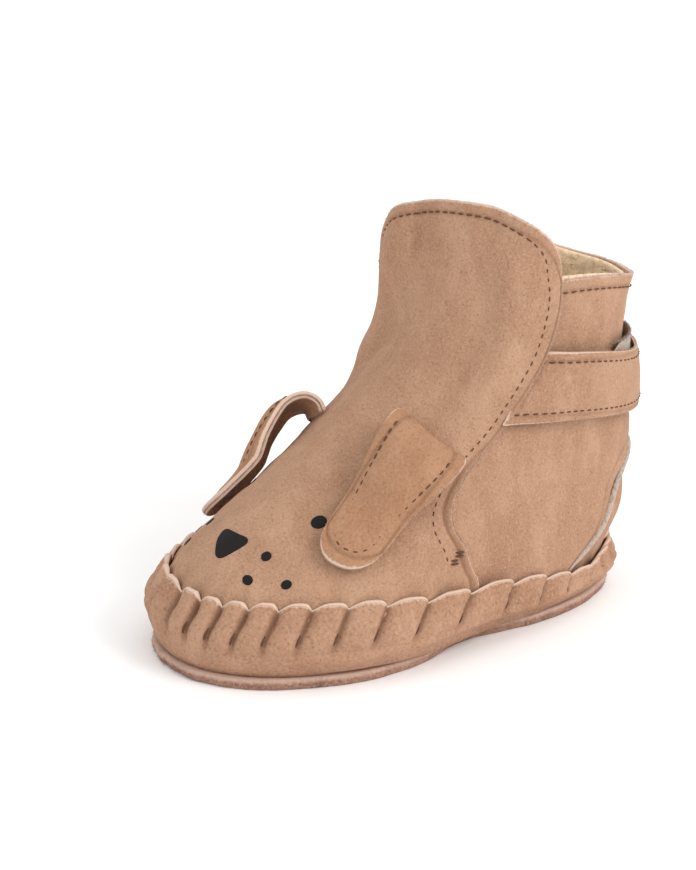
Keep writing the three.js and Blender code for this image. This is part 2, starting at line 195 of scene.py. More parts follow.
# Puts arrays into a mesh, turns its faces outwards and shades it smooth.
def makePiece(name, points, faces, material, marks=None, weld=0.0):
    mesh = bpy.data.meshes.new(name)
    mesh.from_pydata((points * metre).tolist(), [], faces.tolist())
    for mark, values in (marks or {}).items():
        layer = mesh.attributes.new(mark, "FLOAT", "POINT")
        layer.data.foreach_set("value", np.asarray(values, np.float32).ravel())
    shape = bmesh.new()
    shape.from_mesh(mesh)
    if weld:
        bmesh.ops.remove_doubles(shape, verts=shape.verts, dist=weld * metre)
    if shape.calc_volume(signed=True) < 0:
        bmesh.ops.reverse_faces(shape, faces=shape.faces)
    shape.to_mesh(mesh)
    shape.free()
    mesh.polygons.foreach_set("use_smooth", np.ones(len(mesh.polygons), bool))
    mesh.materials.append(material)
    piece = bpy.data.objects.new(name, mesh)
    scene.collection.objects.link(piece)
    return piece


def gridFaces(rows, columns, start=0, around=False):
    index = start + np.arange(rows * columns).reshape(rows, columns)
    if around:
        index = np.concatenate([index, index[:, :1]], 1)
    return np.stack([index[:-1, :-1], index[:-1, 1:], index[1:, 1:], index[1:, :-1]], -1).reshape(-1, 4)


# How far each grid point lies from the chosen borders, measured along the grid lines.
def edgeDistance(grid, sides="left right top bottom"):
    steps = np.linalg.norm(np.diff(grid, axis=1), axis=-1)
    left = np.concatenate([np.zeros((len(grid), 1)), np.cumsum(steps, 1)], 1)
    rise = np.linalg.norm(np.diff(grid, axis=0), axis=-1)
    bottom = np.concatenate([np.zeros((1, grid.shape[1])), np.cumsum(rise, 0)], 0)
    every = {"left": left, "right": left[:, -1:] - left, "bottom": bottom, "top": bottom[-1:] - bottom}
    return np.minimum.reduce([every[side] for side in sides.split()])


# A closed sheet: an outer and an inner grid joined by a half-round rim that stands out by round times
# half the thickness. Marks: edge is the distance from the cut edge in millimetres, cut is 1 on the rim.
def closedSheet(name, outer, inner, material, edge=None, round=0.9, rims=4, marks=None):
    rows, columns = outer.shape[:2]
    count = rows * columns
    index = np.arange(count).reshape(rows, columns)
    ring = np.concatenate([index[0, :-1], index[:-1, -1], index[-1, :0:-1], index[:0:-1, 0]])
    inside = np.clip(np.stack(np.divmod(ring, columns), -1), 1, [rows - 2, columns - 2])
    flatOut, flatIn = outer.reshape(-1, 3), inner.reshape(-1, 3)
    middle = (flatOut[ring] + flatIn[ring]) / 2
    half = (flatOut[ring] - flatIn[ring]) / 2
    away = unit(flatOut[ring] - flatOut[inside[:, 0] * columns + inside[:, 1]])
    thick = np.linalg.norm(half, axis=-1, keepdims=True)
    turns = np.linspace(0, pi, rims + 2)[1:-1]
    rim = np.concatenate([middle + half * np.cos(turn) + away * thick * round * np.sin(turn)
                          for turn in turns])
    size = len(ring)
    loops = [ring] + [2 * count + size * i + np.arange(size) for i in range(rims)] + [count + ring]
    strips = [np.stack([low, np.roll(low, -1), np.roll(high, -1), high], -1)
              for high, low in zip(loops[:-1], loops[1:])]
    outerFaces = gridFaces(rows, columns)
    faces = np.concatenate([outerFaces, outerFaces[:, ::-1] + count] + strips)
    distance = edgeDistance(outer) if edge is None else edge
    every = {"edge": np.concatenate([distance.ravel(), distance.ravel(), np.zeros(size * rims)]),
             "cut": np.concatenate([np.zeros(2 * count), np.ones(size * rims)])}
    for mark, values in (marks or {}).items():
        flat = values.ravel()
        every[mark] = np.concatenate([flat, flat, np.tile(flat[ring], rims)])
    return makePiece(name, np.concatenate([flatOut, flatIn, rim]), faces, material, every)


# A closed slab over an outline: rings scaled towards the middle carry a profile of (share, lift, z).
def ringedSlab(name, outline, profile, material, marks=None):
    columns = len(outline)
    rings = []
    for share, out, z in profile:
        ring = np.zeros((columns, 3))
        ring[:, :2] = outline * share + unit(outline) * out * (share > 0)
        ring[:, 2] = z
        rings.append(ring)
    points = np.concatenate(rings)
    return makePiece(name, points, gridFaces(len(profile), columns, around=True), material, marks, weld=1e-3)


# Thread stitches along a line: each is a six-sided lens that arches over the leather and dips into it.
def stitchRow(name, line, normals, material, pitch=2.4, length=1.6, radius=0.21, sink=0.2, seed=1):
    steps = np.linalg.norm(np.diff(line, axis=0), axis=1)
    travel = np.concatenate([[0], np.cumsum(steps)])
    count = max(int(travel[-1] / pitch), 1)
    random = np.random.default_rng(seed)
    centre = (np.arange(count) + 0.5) * travel[-1] / count + random.normal(0, 0.06, count)
    along = np.linspace(-1, 1, 5)
    at = centre[:, None] + along * length / 2 * random.uniform(0.88, 1.1, (count, 1))
    core = np.stack([np.interp(at, travel, line[:, k]) for k in range(3)], -1)
    up = unit(np.stack([np.interp(at, travel, normals[:, k]) for k in range(3)], -1))
    core += up * (0.16 - sink * along[None, :, None] ** 2)
    forward = unit(np.gradient(core, axis=1))
    side = unit(np.cross(forward, up))
    turns = np.arange(6) * pi / 3
    wide = radius * np.sqrt(np.maximum(1 - 0.8 * along ** 2, 0.1))[None, :, None, None]
    ring = side[:, :, None] * np.cos(turns)[:, None] + up[:, :, None] * np.sin(turns)[:, None]
    points = core[:, :, None] + ring * wide
    body = np.concatenate([gridFaces(5, 6, around=True), [[0, 3, 2, 1], [0, 5, 4, 3]],
                           [[24, 25, 26, 27], [24, 27, 28, 29]]])
    faces = (body[None] + (np.arange(count) * 30)[:, None, None]).reshape(-1, 4)
    return makePiece(name, points.reshape(-1, 3), faces, material)


# Fine fibres: three-sided spikes that leave roots in the given directions and bend by a little.
def fibres(name, roots, ways, material, length, radius=0.05, bend=0.5, seed=1):
    random = np.random.default_rng(seed)
    count = len(roots)
    ways = unit(ways + random.normal(0, bend, (count, 3)))
    curl = unit(np.cross(ways, random.normal(size=(count, 3))))
    other = np.cross(ways, curl)
    long = length * random.uniform(0.4, 1.2, (count, 1))
    turns = np.arange(3) * 2 * pi / 3
    ring = curl[:, None] * np.cos(turns)[:, None] + other[:, None] * np.sin(turns)[:, None]
    low = roots[:, None] - ways[:, None] * 0.15 + ring * radius
    high = (roots + ways * long * 0.55 + curl * long * 0.12)[:, None] + ring * radius * 0.75
    tip = (roots + ways * long + curl * long * 0.45)[:, None]
    points = np.concatenate([low, high, tip], 1)
    body = [[0, 2, 1]] + [[i, (i + 1) % 3, 3 + (i + 1) % 3] for i in range(3)]
    body += [[i, 3 + (i + 1) % 3, 3 + i] for i in range(3)] + [[3 + i, 3 + (i + 1) % 3, 6] for i in range(3)]
    faces = (np.array(body)[None] + (np.arange(count) * 7)[:, None, None]).reshape(-1, 3)
    return makePiece(name, points.reshape(-1, 3), faces, material)


# Spots spread evenly but at random along a line, with the values of other lines at the same places.
def scatterAlong(count, seed, *lines):
    random = np.random.default_rng(seed)
    steps = np.linalg.norm(np.diff(lines[0], axis=0), axis=1)
    travel = np.concatenate([[0], np.cumsum(steps)])
    at = random.uniform(0, travel[-1], count)
    return [np.stack([np.interp(at, travel, line[:, k]) for k in range(3)], -1) for line in lines]


# Straight colour from the usual 0 to 255 values: the display curve is taken off.
def colour(red, green, blue):
    value = np.array([red, green, blue]) / 255
    straight = np.where(value <= 0.04045, value / 12.92, ((value + 0.055) / 1.055) ** 2.4)
    return (*straight.tolist(), 1.0)


class Shader:
    # A small helper that adds nodes and joins their sockets.
    def __init__(self, name):
        self.material = bpy.data.materials.new(name)
        self.material.use_nodes = True
        self.tree = self.material.node_tree
        self.surface = self.tree.nodes["Principled BSDF"]
        self.place = self.add("ShaderNodeTexCoord").outputs["Object"]

    def add(self, kind, **settings):
        node = self.tree.nodes.new(kind)
        for key, value in settings.items():
            setattr(node, key, value)
        return node

    def join(self, source, target):
        if isinstance(source, (int, float, tuple)):
            target.default_value = source
        else:
            self.tree.links.new(source, target)

    def noise(self, size, detail=3.0, roughness=0.55, squeeze=(1, 1, 1)):
        mapping = self.add("ShaderNodeMapping")
        mapping.inputs["Scale"].default_value = squeeze
        self.join(self.place, mapping.inputs["Vector"])
        node = self.add("ShaderNodeTexNoise")
        self.join(mapping.outputs[0], node.inputs["Vector"])
        node.inputs["Scale"].default_value = 1 / (size * metre)
        node.inputs["Detail"].default_value = detail
        node.inputs["Roughness"].default_value = roughness
        return node.outputs["Fac"]

    def mark(self, name):
        return self.add("ShaderNodeAttribute", attribute_name=name).outputs["Fac"]

    def between(self, value, low, high, toLow=0.0, toHigh=1.0):
        node = self.add("ShaderNodeMapRange", interpolation_type="SMOOTHSTEP")
        for socket, number in zip(node.inputs[:5], (value, low, high, toLow, toHigh)):
            self.join(number, socket)
        return node.outputs["Result"]

    def maths(self, operation, first, second):
        node = self.add("ShaderNodeMath", operation=operation)
        self.join(first, node.inputs[0])
        self.join(second, node.inputs[1])
        return node.outputs[0]

    def mix(self, share, first, second):
        node = self.add("ShaderNodeMix", data_type="RGBA")
        self.join(share, node.inputs["Factor"])
        self.join(first, node.inputs["A"])
        self.join(second, node.inputs["B"])
        return node.outputs["Result"]

    def bump(self, height, distance, strength=1.0, below=None):
        node = self.add("ShaderNodeBump")
        node.inputs["Distance"].default_value = distance * metre
        node.inputs["Strength"].default_value = strength
        self.join(height, node.inputs["Height"])
        if below is not None:
            self.join(below, node.inputs["Normal"])
        return node.outputs["Normal"]

    def finish(self, base, roughness, normal=None, sheen=0.0, sheenTint=(1, 1, 1, 1), specular=0.3):
        self.join(base, self.surface.inputs["Base Color"])
        self.join(roughness, self.surface.inputs["Roughness"])
        self.surface.inputs["Sheen Weight"].default_value = sheen
        self.surface.inputs["Sheen Roughness"].default_value = 0.45
        self.surface.inputs["Sheen Tint"].default_value = sheenTint
        self.surface.inputs["Specular IOR Level"].default_value = specular
        if normal is not None:
            self.join(normal, self.surface.inputs["Normal"])
        return self.material


# Brushed leather: broad cloudy patches, finger-brushed streaks, fine speckle and nap, a paler cut edge, and
# painted shade where a mark on the mesh asks for it.
def brushedLeather(name, look):
    s = Shader(name)
    clouds = s.noise(look["patch"], 3.0, 0.6)
    brushed = s.noise(look["streak"], 4.0, 0.65, look["brush"])
    speckle = s.noise(look["speckle"], 2.0, 0.7)
    pores = s.noise(look["pore"], 2.0, 0.6)
    base = s.mix(s.between(clouds, 0.3, 0.7), colour(*look["dark"]), colour(*look["main"]))
    base = s.mix(s.between(brushed, 0.4, 0.72, 0.0, look["brushing"]), base, colour(*look["light"]))
    base = s.mix(s.between(speckle, 0.52, 0.75, 0.0, look["spots"]), base, colour(*look["speckleAndShade"]))
    base = s.mix(s.between(speckle, 0.5, 0.28, 0.0, look["spots"]), base, colour(*look["light"]))
    rough = s.maths("ADD", s.mark("edge"), s.maths("MULTIPLY", speckle, 1.0))
    pale = s.between(rough, 0.5 + look["rim"], 0.5, 0.0, look["paleness"])
    base = s.mix(pale, base, colour(*look["edge"]))
    base = s.mix(s.maths("MULTIPLY", s.mark("cut"), 0.85), base, colour(*look["edge"]))
    # painted shade: the mark darkens seam grooves, creases and hidden faces towards the darkest speckle
    # colour
    base = s.mix(s.mark("painted_shade"), base, colour(*look["speckleAndShade"]))
    nap = s.bump(speckle, look["napDepth"], 0.8)
    nap = s.bump(pores, look["napDepth"] * 0.6, 0.7, nap)
    nap = s.bump(brushed, 0.25, 0.5, nap)
    return s.finish(base, s.between(brushed, 0.3, 0.7, 0.82, 0.95), nap, look["sheen"],
                    colour(*look["light"]), 0.2)


# The darkest colour is both the dark speckle of the nap and the painted shade.
nubuckLook = {
    "main": (174, 136, 109), "dark": (160, 121, 95), "light": (194, 158, 132), "speckleAndShade": (122, 84, 62),
    "edge": (216, 190, 172), "patch": 24, "streak": 7, "brush": (1, 1, 0.45), "brushing": 0.4,
    "speckle": 0.6, "pore": 0.25, "spots": 0.5, "napDepth": 0.24, "rim": 0.35, "paleness": 0.6, "sheen": 0.12,
}
suedeLook = dict(nubuckLook, main=(172, 133, 107), dark=(157, 117, 92), light=(194, 157, 131),
                 speckleAndShade=(104, 70, 50), speckle=0.8, spots=0.5, napDepth=0.26, brushing=0.45)
earLook = dict(suedeLook, main=(168, 127, 98), dark=(157, 115, 86), light=(186, 146, 117), spots=0.4,
               speckle=0.7)
soleLook = dict(suedeLook, main=(156, 118, 98), dark=(128, 92, 74), light=(186, 152, 134), speckleAndShade=(92, 64, 52),
                edge=(208, 177, 160), speckle=0.9, spots=0.8, napDepth=0.5, rim=0.1, paleness=0.2)
nubuck = brushedLeather("nubuck", nubuckLook)
suede = brushedLeather("suede", suedeLook)
earSuede = brushedLeather("ear_suede", earLook)
soleSuede = brushedLeather("sole_suede", soleLook)


# Pile: soft clumps with painted shade in the darker gaps between them, and a strong soft bloom.
def pileMaterial(name, main, gapShade, clump, depth, sheen=0.5):
    s = Shader(name)
    tufts = s.noise(clump, 4.0, 0.65)
    fine = s.noise(clump * 0.25, 3.0, 0.7)
    base = s.mix(s.between(tufts, 0.3, 0.6), colour(*gapShade), colour(*main))
    normal = s.bump(fine, depth * 0.6, 0.8, s.bump(tufts, depth, 0.9))
    return s.finish(base, 0.95, normal, sheen, colour(*main), 0.1)


# Twisted thread: fine diagonal ribs, with painted shade in the darker brown of the grooves between them.
def threadMaterial(name, main, dark):
    s = Shader(name)
    wave = s.add("ShaderNodeTexWave", wave_type="BANDS", bands_direction="DIAGONAL")
    s.join(s.place, wave.inputs["Vector"])
    wave.inputs["Scale"].default_value = 900
    wave.inputs["Distortion"].default_value = 2.0
    base = s.mix(s.between(wave.outputs["Fac"], 0.2, 0.8), colour(*dark), colour(*main))
    return s.finish(base, 0.7, s.bump(wave.outputs["Fac"], 0.08, 0.8), 0.1, colour(*main), 0.35)


# Printed film: nearly black, with the leather's grain showing through and worn a little at the edge.
def printMaterial(name):
    s = Shader(name)
    grain = s.noise(0.5, 3.0, 0.7)
    base = s.mix(s.between(grain, 0.35, 0.75), colour(17, 14, 14), colour(34, 29, 28))
    rough = s.between(grain, 0.3, 0.7, 0.6, 0.8)
    return s.finish(base, rough, s.bump(grain, 0.08, 0.8), specular=0.2)


# Foam: tiny open cells, with painted shade darkening their pits.
def foamMaterial(name):
    s = Shader(name)
    cells = s.add("ShaderNodeTexVoronoi")
    s.join(s.place, cells.inputs["Vector"])
    cells.inputs["Scale"].default_value = 1400
    base = s.mix(s.between(cells.outputs["Distance"], 0.1, 0.7), colour(214, 208, 196), colour(236, 232, 222))
    return s.finish(base, 0.9, s.bump(cells.outputs["Distance"], 0.2, 0.8), 0.1, (1, 1, 1, 1), 0.2)


fleece = pileMaterial("fleece", (246, 224, 192), (224, 190, 150), 2.2, 0.7)
hookPile = pileMaterial("hook_pile", (146, 128, 112), (104, 88, 76), 0.9, 0.5, 0.2)
loopPile = pileMaterial("loop_pile", (206, 192, 178), (166, 150, 136), 1.1, 0.6, 0.4)
backing = pileMaterial("strap_backing", (178, 146, 122), (146, 114, 92), 0.8, 0.25, 0.2)
fuzz = pileMaterial("leather_fuzz", (212, 184, 166), (188, 156, 134), 1.5, 0.2, 0.4)
rollPile = pileMaterial("roll_pile", (202, 184, 170), (168, 148, 134), 0.9, 0.4, 0.3)
soleFuzz = pileMaterial("sole_fuzz", (186, 152, 133), (132, 98, 80), 1.5, 0.2, 0.3)
thread = threadMaterial("thread", (112, 72, 50), (64, 38, 26))
film = printMaterial("print")
foam = foamMaterial("foam")
print("materials made")


# The outsole is a slab with a lip that wanders a little and a furred cut edge.
def makeOutsole():
    look = {"columns": 560, "lip": 0.5, "fur": 2600, "furLength": 0.8}
    b = np.linspace(0, 2 * pi, look["columns"], endpoint=False)
    outline = onSole(b)
    wander = 0.35 * swell(np.column_stack([outline, b * 0]), 9, 3)[:, None]
    outline = outline + unit(outline) * (look["lip"] + wander - 0.4)
    top = sole["thickness"]
    profile = [(0, 0, 0.0), (0.5, 0, 0.0), (0.9, 0, 0.0), (1, -1.2, 0.0), (1, -0.5, 0.1), (1, -0.1, 0.5),
               (1, 0.2, 1.1), (1, 0.45, 1.8), (1, 0.5, 2.4), (1, 0.25, 2.9), (1, -0.6, top + 0.1),
               (0.94, 0, top), (0.88, 0, top), (0.5, 0, top), (0, 0, top)]
    count = len(profile) * look["columns"]
    heights = np.repeat([step[2] for step in profile], look["columns"])
    marks = {"edge": np.full(count, 5.0), "cut": lerp(0.05, 0.9, ease(heights, 2.0, 2.7))}
    piece = ringedSlab("outsole_suede", outline, profile, soleSuede, marks)
    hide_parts("outsole")
    random = np.random.default_rng(5)
    angle = random.uniform(0, 2 * pi, look["fur"])
    edge = onSole(angle)
    z = random.uniform(0.9, 2.7, look["fur"])
    roots = np.column_stack([edge + unit(edge) * 0.1, z])
    ways = np.column_stack([unit(edge), random.uniform(-0.3, 0.6, look["fur"])])
    fur = fibres("outsole_fur", roots, ways, soleFuzz, look["furLength"], 0.06, 0.6, 6)
    return [(piece, "suede_tan"), (fur, "suede_tan")]


# The foam sits inside the wrap and the footbed lies on it, both pressed a little at the rim.
def makeInsole():
    b = np.linspace(0, 2 * pi, 260, endpoint=False)
    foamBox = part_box("foam_midsole")
    low, high = foamBox[0].z / metre, foamBox[1].z / metre
    rim = (high - low) / 2
    profile = [(0, 0, low), (0.6, 0, low), (1, -rim, low), (1, -0.3, low + rim * 0.4), (1, 0, low + rim),
               (1, -0.3, high - rim * 0.4), (1, -rim, high), (0.6, 0, high), (0, 0, high)]
    pad = ringedSlab("foam_pad", onSole(b, 3.2), profile, foam)
    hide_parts("foam_midsole")
    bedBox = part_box("fleece_footbed")
    low, high = bedBox[0].z / metre, bedBox[1].z / metre
    inset = -sheets["fleece"] - sheets["liningPlay"] - 2 * sheets["gap"] - 0.3
    outline = onLast(b, 0 * b, inset)[:, :2]
    shares = np.linspace(0.96, 0, 50)
    profile = [(0, 0, low), (0.6, 0, low), (1, -1.2, low), (1, -0.2, low + 1), (1, 0, low + 2),
               (1, -0.4, high - 0.8)]
    profile += [(share, 0, high - 0.2 - 0.5 * ease(share, 0.5, 0)) for share in shares]
    bed = ringedSlab("footbed_fleece", outline, profile, fleece)
    points = np.empty(len(bed.data.vertices) * 3)
    bed.data.vertices.foreach_get("co", points)
    points = points.reshape(-1, 3) / metre
    pile = 0.35 * swell(points, 2.6, 8, 24) + 0.25 * swell(points, 1.4, 9, 24)
    points[:, 2] += np.where(points[:, 2] > high - 1.0, pile - 0.4, 0)
    bed.data.vertices.foreach_set("co", (points * metre).ravel())
    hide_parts("fleece_footbed")
    return [(pad, "foam_white"), (bed, "fleece_cream")]


wrap = {
    "floor": 3.35, "bulge": 10, "thickness": 0.95, "clearance": 3.75, "lip": 1.0, "tabs": 18, "depth": 1.9,
    "slant": 0.36, "scallop": 2.2,
}
rimHeights = curve([(0, 21.5), (0.9, 21.8), (1.2, 21.3), (1.5, 19.5), (1.7, 17.5), (1.9, 15.8), (2.1, 13.8),
                    (2.3, 12.8), (2.7, 13.2), (pi, 14.5)])
# How far the leather under the rim stands out from the last, round the foot.
underRim = curve([(0, 1.1), (1.0, 1.15), (1.35, 2.6), (1.7, 2.6), (2.0, 2.9), (2.25, 2.9), (2.45, 1.3),
                  (pi, 1.2)])


def rimHeight(a):
    return rimHeights(np.abs(np.arctan2(np.sin(a), np.cos(a))))


# Each gather is a tab: it swells softly from its toe side and tucks steeply in at its heel side, its top
# is round, and its folds run down and forward until they fade. Returns the swell, the tuck and how far
# across the tab the spot lies.
def gathers(a, v, jitter):
    around = np.abs(np.arctan2(np.sin(a), np.cos(a)))
    slant = wrap["slant"] * ease(around, 0, 0.5) * (1 - ease(around, 2.7, pi))
    phase = wrap["tabs"] * around / pi + slant * (1 - v) ** 1.2
    index = np.floor(phase).astype(int) % wrap["tabs"]
    side = (np.sin(a) > 0).astype(int)
    share = phase - np.floor(phase)
    skew = share ** 1.3
    puff = (1 - np.abs(2 * skew - 1) ** 3.2) * jitter[side, index]
    saw = share * (1 - ease(share, 0.88, 1.0))
    return puff, saw, share


def wallAt(a, v, inward, jitter):
    puff, saw = gathers(a, v, jitter)[:2]
    around = np.abs(np.arctan2(np.sin(a), np.cos(a)))
    rim = rimHeight(a) - wrap["scallop"] * (1 - np.clip(puff, 0, 1)) * ease(v, 0.55, 1)
    z = lerp(wrap["floor"], rim, v)
    amount = wrap["depth"] * ease(v, 0.12, 0.72)
    fold = amount * (0.95 * puff + 0.45 * saw - 0.75) * (1 - 0.35 * ease(v, 0.85, 1))
    snug = lerp(wrap["clearance"], underRim(around) + 0.55, ease(v, 0.5, 1.0))
    thickness = wrap["thickness"] * (1 - inward)
    low = soleTowards(onLast(a, 0 * a, wrap["clearance"]), wrap["lip"] + wrap["thickness"] * inward)
    belly = np.sin(pi * np.clip((v - 0.02) / 0.75, 0, 1)) ** 0.8 * (1 - inward)
    high = onLast(a, np.maximum(levelOf(z), 0), snug + thickness + fold * (1 - 0.6 * inward))
    climb = ease(z, wrap["floor"] - 1.5, wrap["bulge"] - 1)
    spot = np.empty(high.shape)
    flat = unit(np.concatenate([high[..., :2], 0 * high[..., :1]], -1))[..., :2]
    spot[..., :2] = lerp(low, high[..., :2], climb[..., None]) + flat * belly[..., None]
    spot[..., 2] = z
    return spot


def makeWrap():
    columns, rows, innerRows, lipRows, flatRows = 972, 46, 9, 4, 4
    jitter = np.random.default_rng(21).uniform(0.82, 1.12, (2, wrap["tabs"]))
    a = np.linspace(0, 2 * pi, columns, endpoint=False)[None]
    up = (np.linspace(0, 1, rows) ** 0.9)[:, None]
    outer = wallAt(a + 0 * up, up + 0 * a, 0.0, jitter)
    grain = 0.12 * swell(outer, 7, 30) + 0.05 * swell(outer, 2.2, 31, 20)
    outer[..., :2] += unit(outer[..., :2]) * (grain * ease(up, 0, 0.1))[..., None]
    down = np.linspace(1, 0.28, innerRows)[:, None]
    inner = wallAt(a + 0 * down, down + 0 * a, 1.0, jitter)
    turns = np.linspace(0, pi, lipRows + 2)[1:-1]
    top, under = outer[-1], inner[0]
    lipUp = np.array([0, 0, 0.55])
    rim = [((top + under) / 2 + (top - under) / 2 * np.cos(turn) + lipUp * np.sin(turn))[None]
           for turn in turns]

    # rings scaled towards the middle close the floor's two faces
    def flatRings(ring, shares, z):
        return [np.column_stack([ring[:, :2] * share, np.full(columns, z)])[None] for share in shares]

    under = flatRings(outer[0], (0.0, 0.5, 0.9, 0.985), wrap["floor"])
    above = flatRings(inner[-1], (0.99, 0.9, 0.5, 0.0), wrap["floor"] + wrap["thickness"])
    grid = np.concatenate(under + [outer] + rim + [inner] + above)
    total = len(grid)
    edge = np.full((total, columns), 9.0)
    share = gathers(a + 0 * up, up + 0 * a, jitter)[2]
    wall = slice(flatRows, flatRows + rows)
    edge[wall] = edgeDistance(outer, "top")
    cut = np.zeros((total, columns))
    cut[flatRows + rows:flatRows + rows + lipRows] = 1
    # painted shade: darker in the tucks between the tabs and along the foot of the wall, next to the sole
    painted_shade = np.zeros((total, columns))
    crease = np.exp(-(np.minimum(share, 1 - share) / 0.09) ** 2)
    painted_shade[wall] = 0.75 * crease * ease(up, 0.25, 0.6)
    painted_shade[wall] += 0.4 * (1 - ease(up, 0.0, 0.1))
    marks = {"edge": edge, "cut": cut, "painted_shade": np.clip(painted_shade, 0, 1)}
    piece = makePiece("gathered_wrap", grid.reshape(-1, 3), gridFaces(total, columns, around=True), suede,
                      marks, weld=1e-3)
    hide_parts("moccasin_wrap")
    made = [(piece, "suede_tan")]
    # one dark thread stands in each tuck, below the tabs
    lines, normals = [], []
    for side in (-1, 1):
        for tab in range(1, wrap["tabs"]):
            height = np.linspace(0.5, 0.66, 9)
            slant = wrap["slant"] * ease(pi * tab / wrap["tabs"], 0, 0.5)
            span = side * pi * (tab - slant * (1 - height) ** 1.2 - 0.05) / wrap["tabs"]
            line = wallAt(span, height, 0.0, jitter)
            lines.append(line)
            normals.append(outward(span, np.maximum(levelOf(line[:, 2]), 0)))
    parts = [stitchRow("gather_stitch", line, normal, thread, 3.4, 3.0, 0.36, 0.1, 40 + i)
             for i, (line, normal) in enumerate(zip(lines, normals))]
    made.append((joinPieces("gather_stitches", parts), "suede_tan"))
    return made


# Joins pieces into the first one and names it.
def joinPieces(name, parts):
    shape = bmesh.new()
    for part in parts:
        shape.from_mesh(part.data)
    mesh = bpy.data.meshes.new(name)
    shape.to_mesh(mesh)
    shape.free()
    mesh.materials.append(parts[0].data.materials[0])
    mesh.polygons.foreach_set("use_smooth", np.ones(len(mesh.polygons), bool))
    for part in parts:
        bpy.data.objects.remove(part)
    piece = bpy.data.objects.new(name, mesh)
    scene.collection.objects.link(piece)
    return piece


panel = {"crown": 111.6, "shoulder": 93, "fold": 61, "peak": 0.05, "seamIn": 2.8,
         "radius": 31, "puckers": 36, "collarEnds": (1.43, 0.72), "collarDip": 6}
outerEdge = curve([
    (0, 1.62), (0.122, 1.58), (0.22, 1.48), (0.293, 1.35), (0.366, 1.26), (0.451, 1.23), (0.573, 1.27),
    (0.659, 1.29), (0.756, 1.31), (0.854, 1.34), (0.951, 1.35), (1.049, 1.32)])
innerEdge = curve([
    (0, -1.62), (0.122, -1.58), (0.22, -1.48), (0.293, -1.35), (0.366, -1.26), (0.451, -1.21),
    (0.573, -1.15), (0.732, -1.04), (0.878, -0.84), (1.0, -0.62), (1.1, -0.5), (1.24, -0.44)])
fold = levelOf(panel["fold"])
rise = {"vamp": sheets["leather"] + sheets["gap"],
        "tongue": sheets["leather"] + sheets["gap"] + sheets["fleece"] + sheets["liningPlay"]}


def overQuarter(a, h):
    clear = np.where(a > 0, outerEdge(h) - a, a - innerEdge(h)) - sheets["overlap"]
    return 1 - ease(clear, 0.04, 0.42)


# Distance of the panel's outer face from the last: it steps up where it lies over a quarter.
def panelTop(a, h):
    step = lerp(rise["vamp"], rise["tongue"], ease(h, fold - 0.06, fold + 0.1))
    return sheets["leather"] + step * overQuarter(a, h)


def panelSpot(t, s, margin=0.0, low=0.0):
    share = (t - panel["peak"]) / np.where(t > panel["peak"], 1 - panel["peak"], 1 + panel["peak"])
    power = np.where(t > panel["peak"], 2.2, 2.3)
    crown = levelOf(panel["crown"]) - margin / shaft
    top = lerp(levelOf(panel["shoulder"]), crown, roundEnd(share, power))
    h = lerp(low, top, s)
    side = margin / panel["radius"]
    return lerp(innerEdge(h) + side, outerEdge(h) - side, (t + 1) / 2), h


# How far the panel's leather stands off its plain surface: soft swells and puckers over the gathers.
def panelLift(a, h, top):
    swellOut = 0.3 * swell(top, 22, 50) + 0.12 * swell(top, 8, 51) + 0.03 * swell(top, 2.5, 52, 20)
    low = 1 - ease(h, 0.1, 0.24)
    return swellOut + 0.28 * low * np.cos(panel["puckers"] * a) * (np.abs(a) < 1.5) - 0.15


def onPanel(a, h, off=0.0):
    top = onLast(a, h, panelTop(a, h))
    return top + outward(a, h) * (panelLift(a, h, top) + off)[..., None]


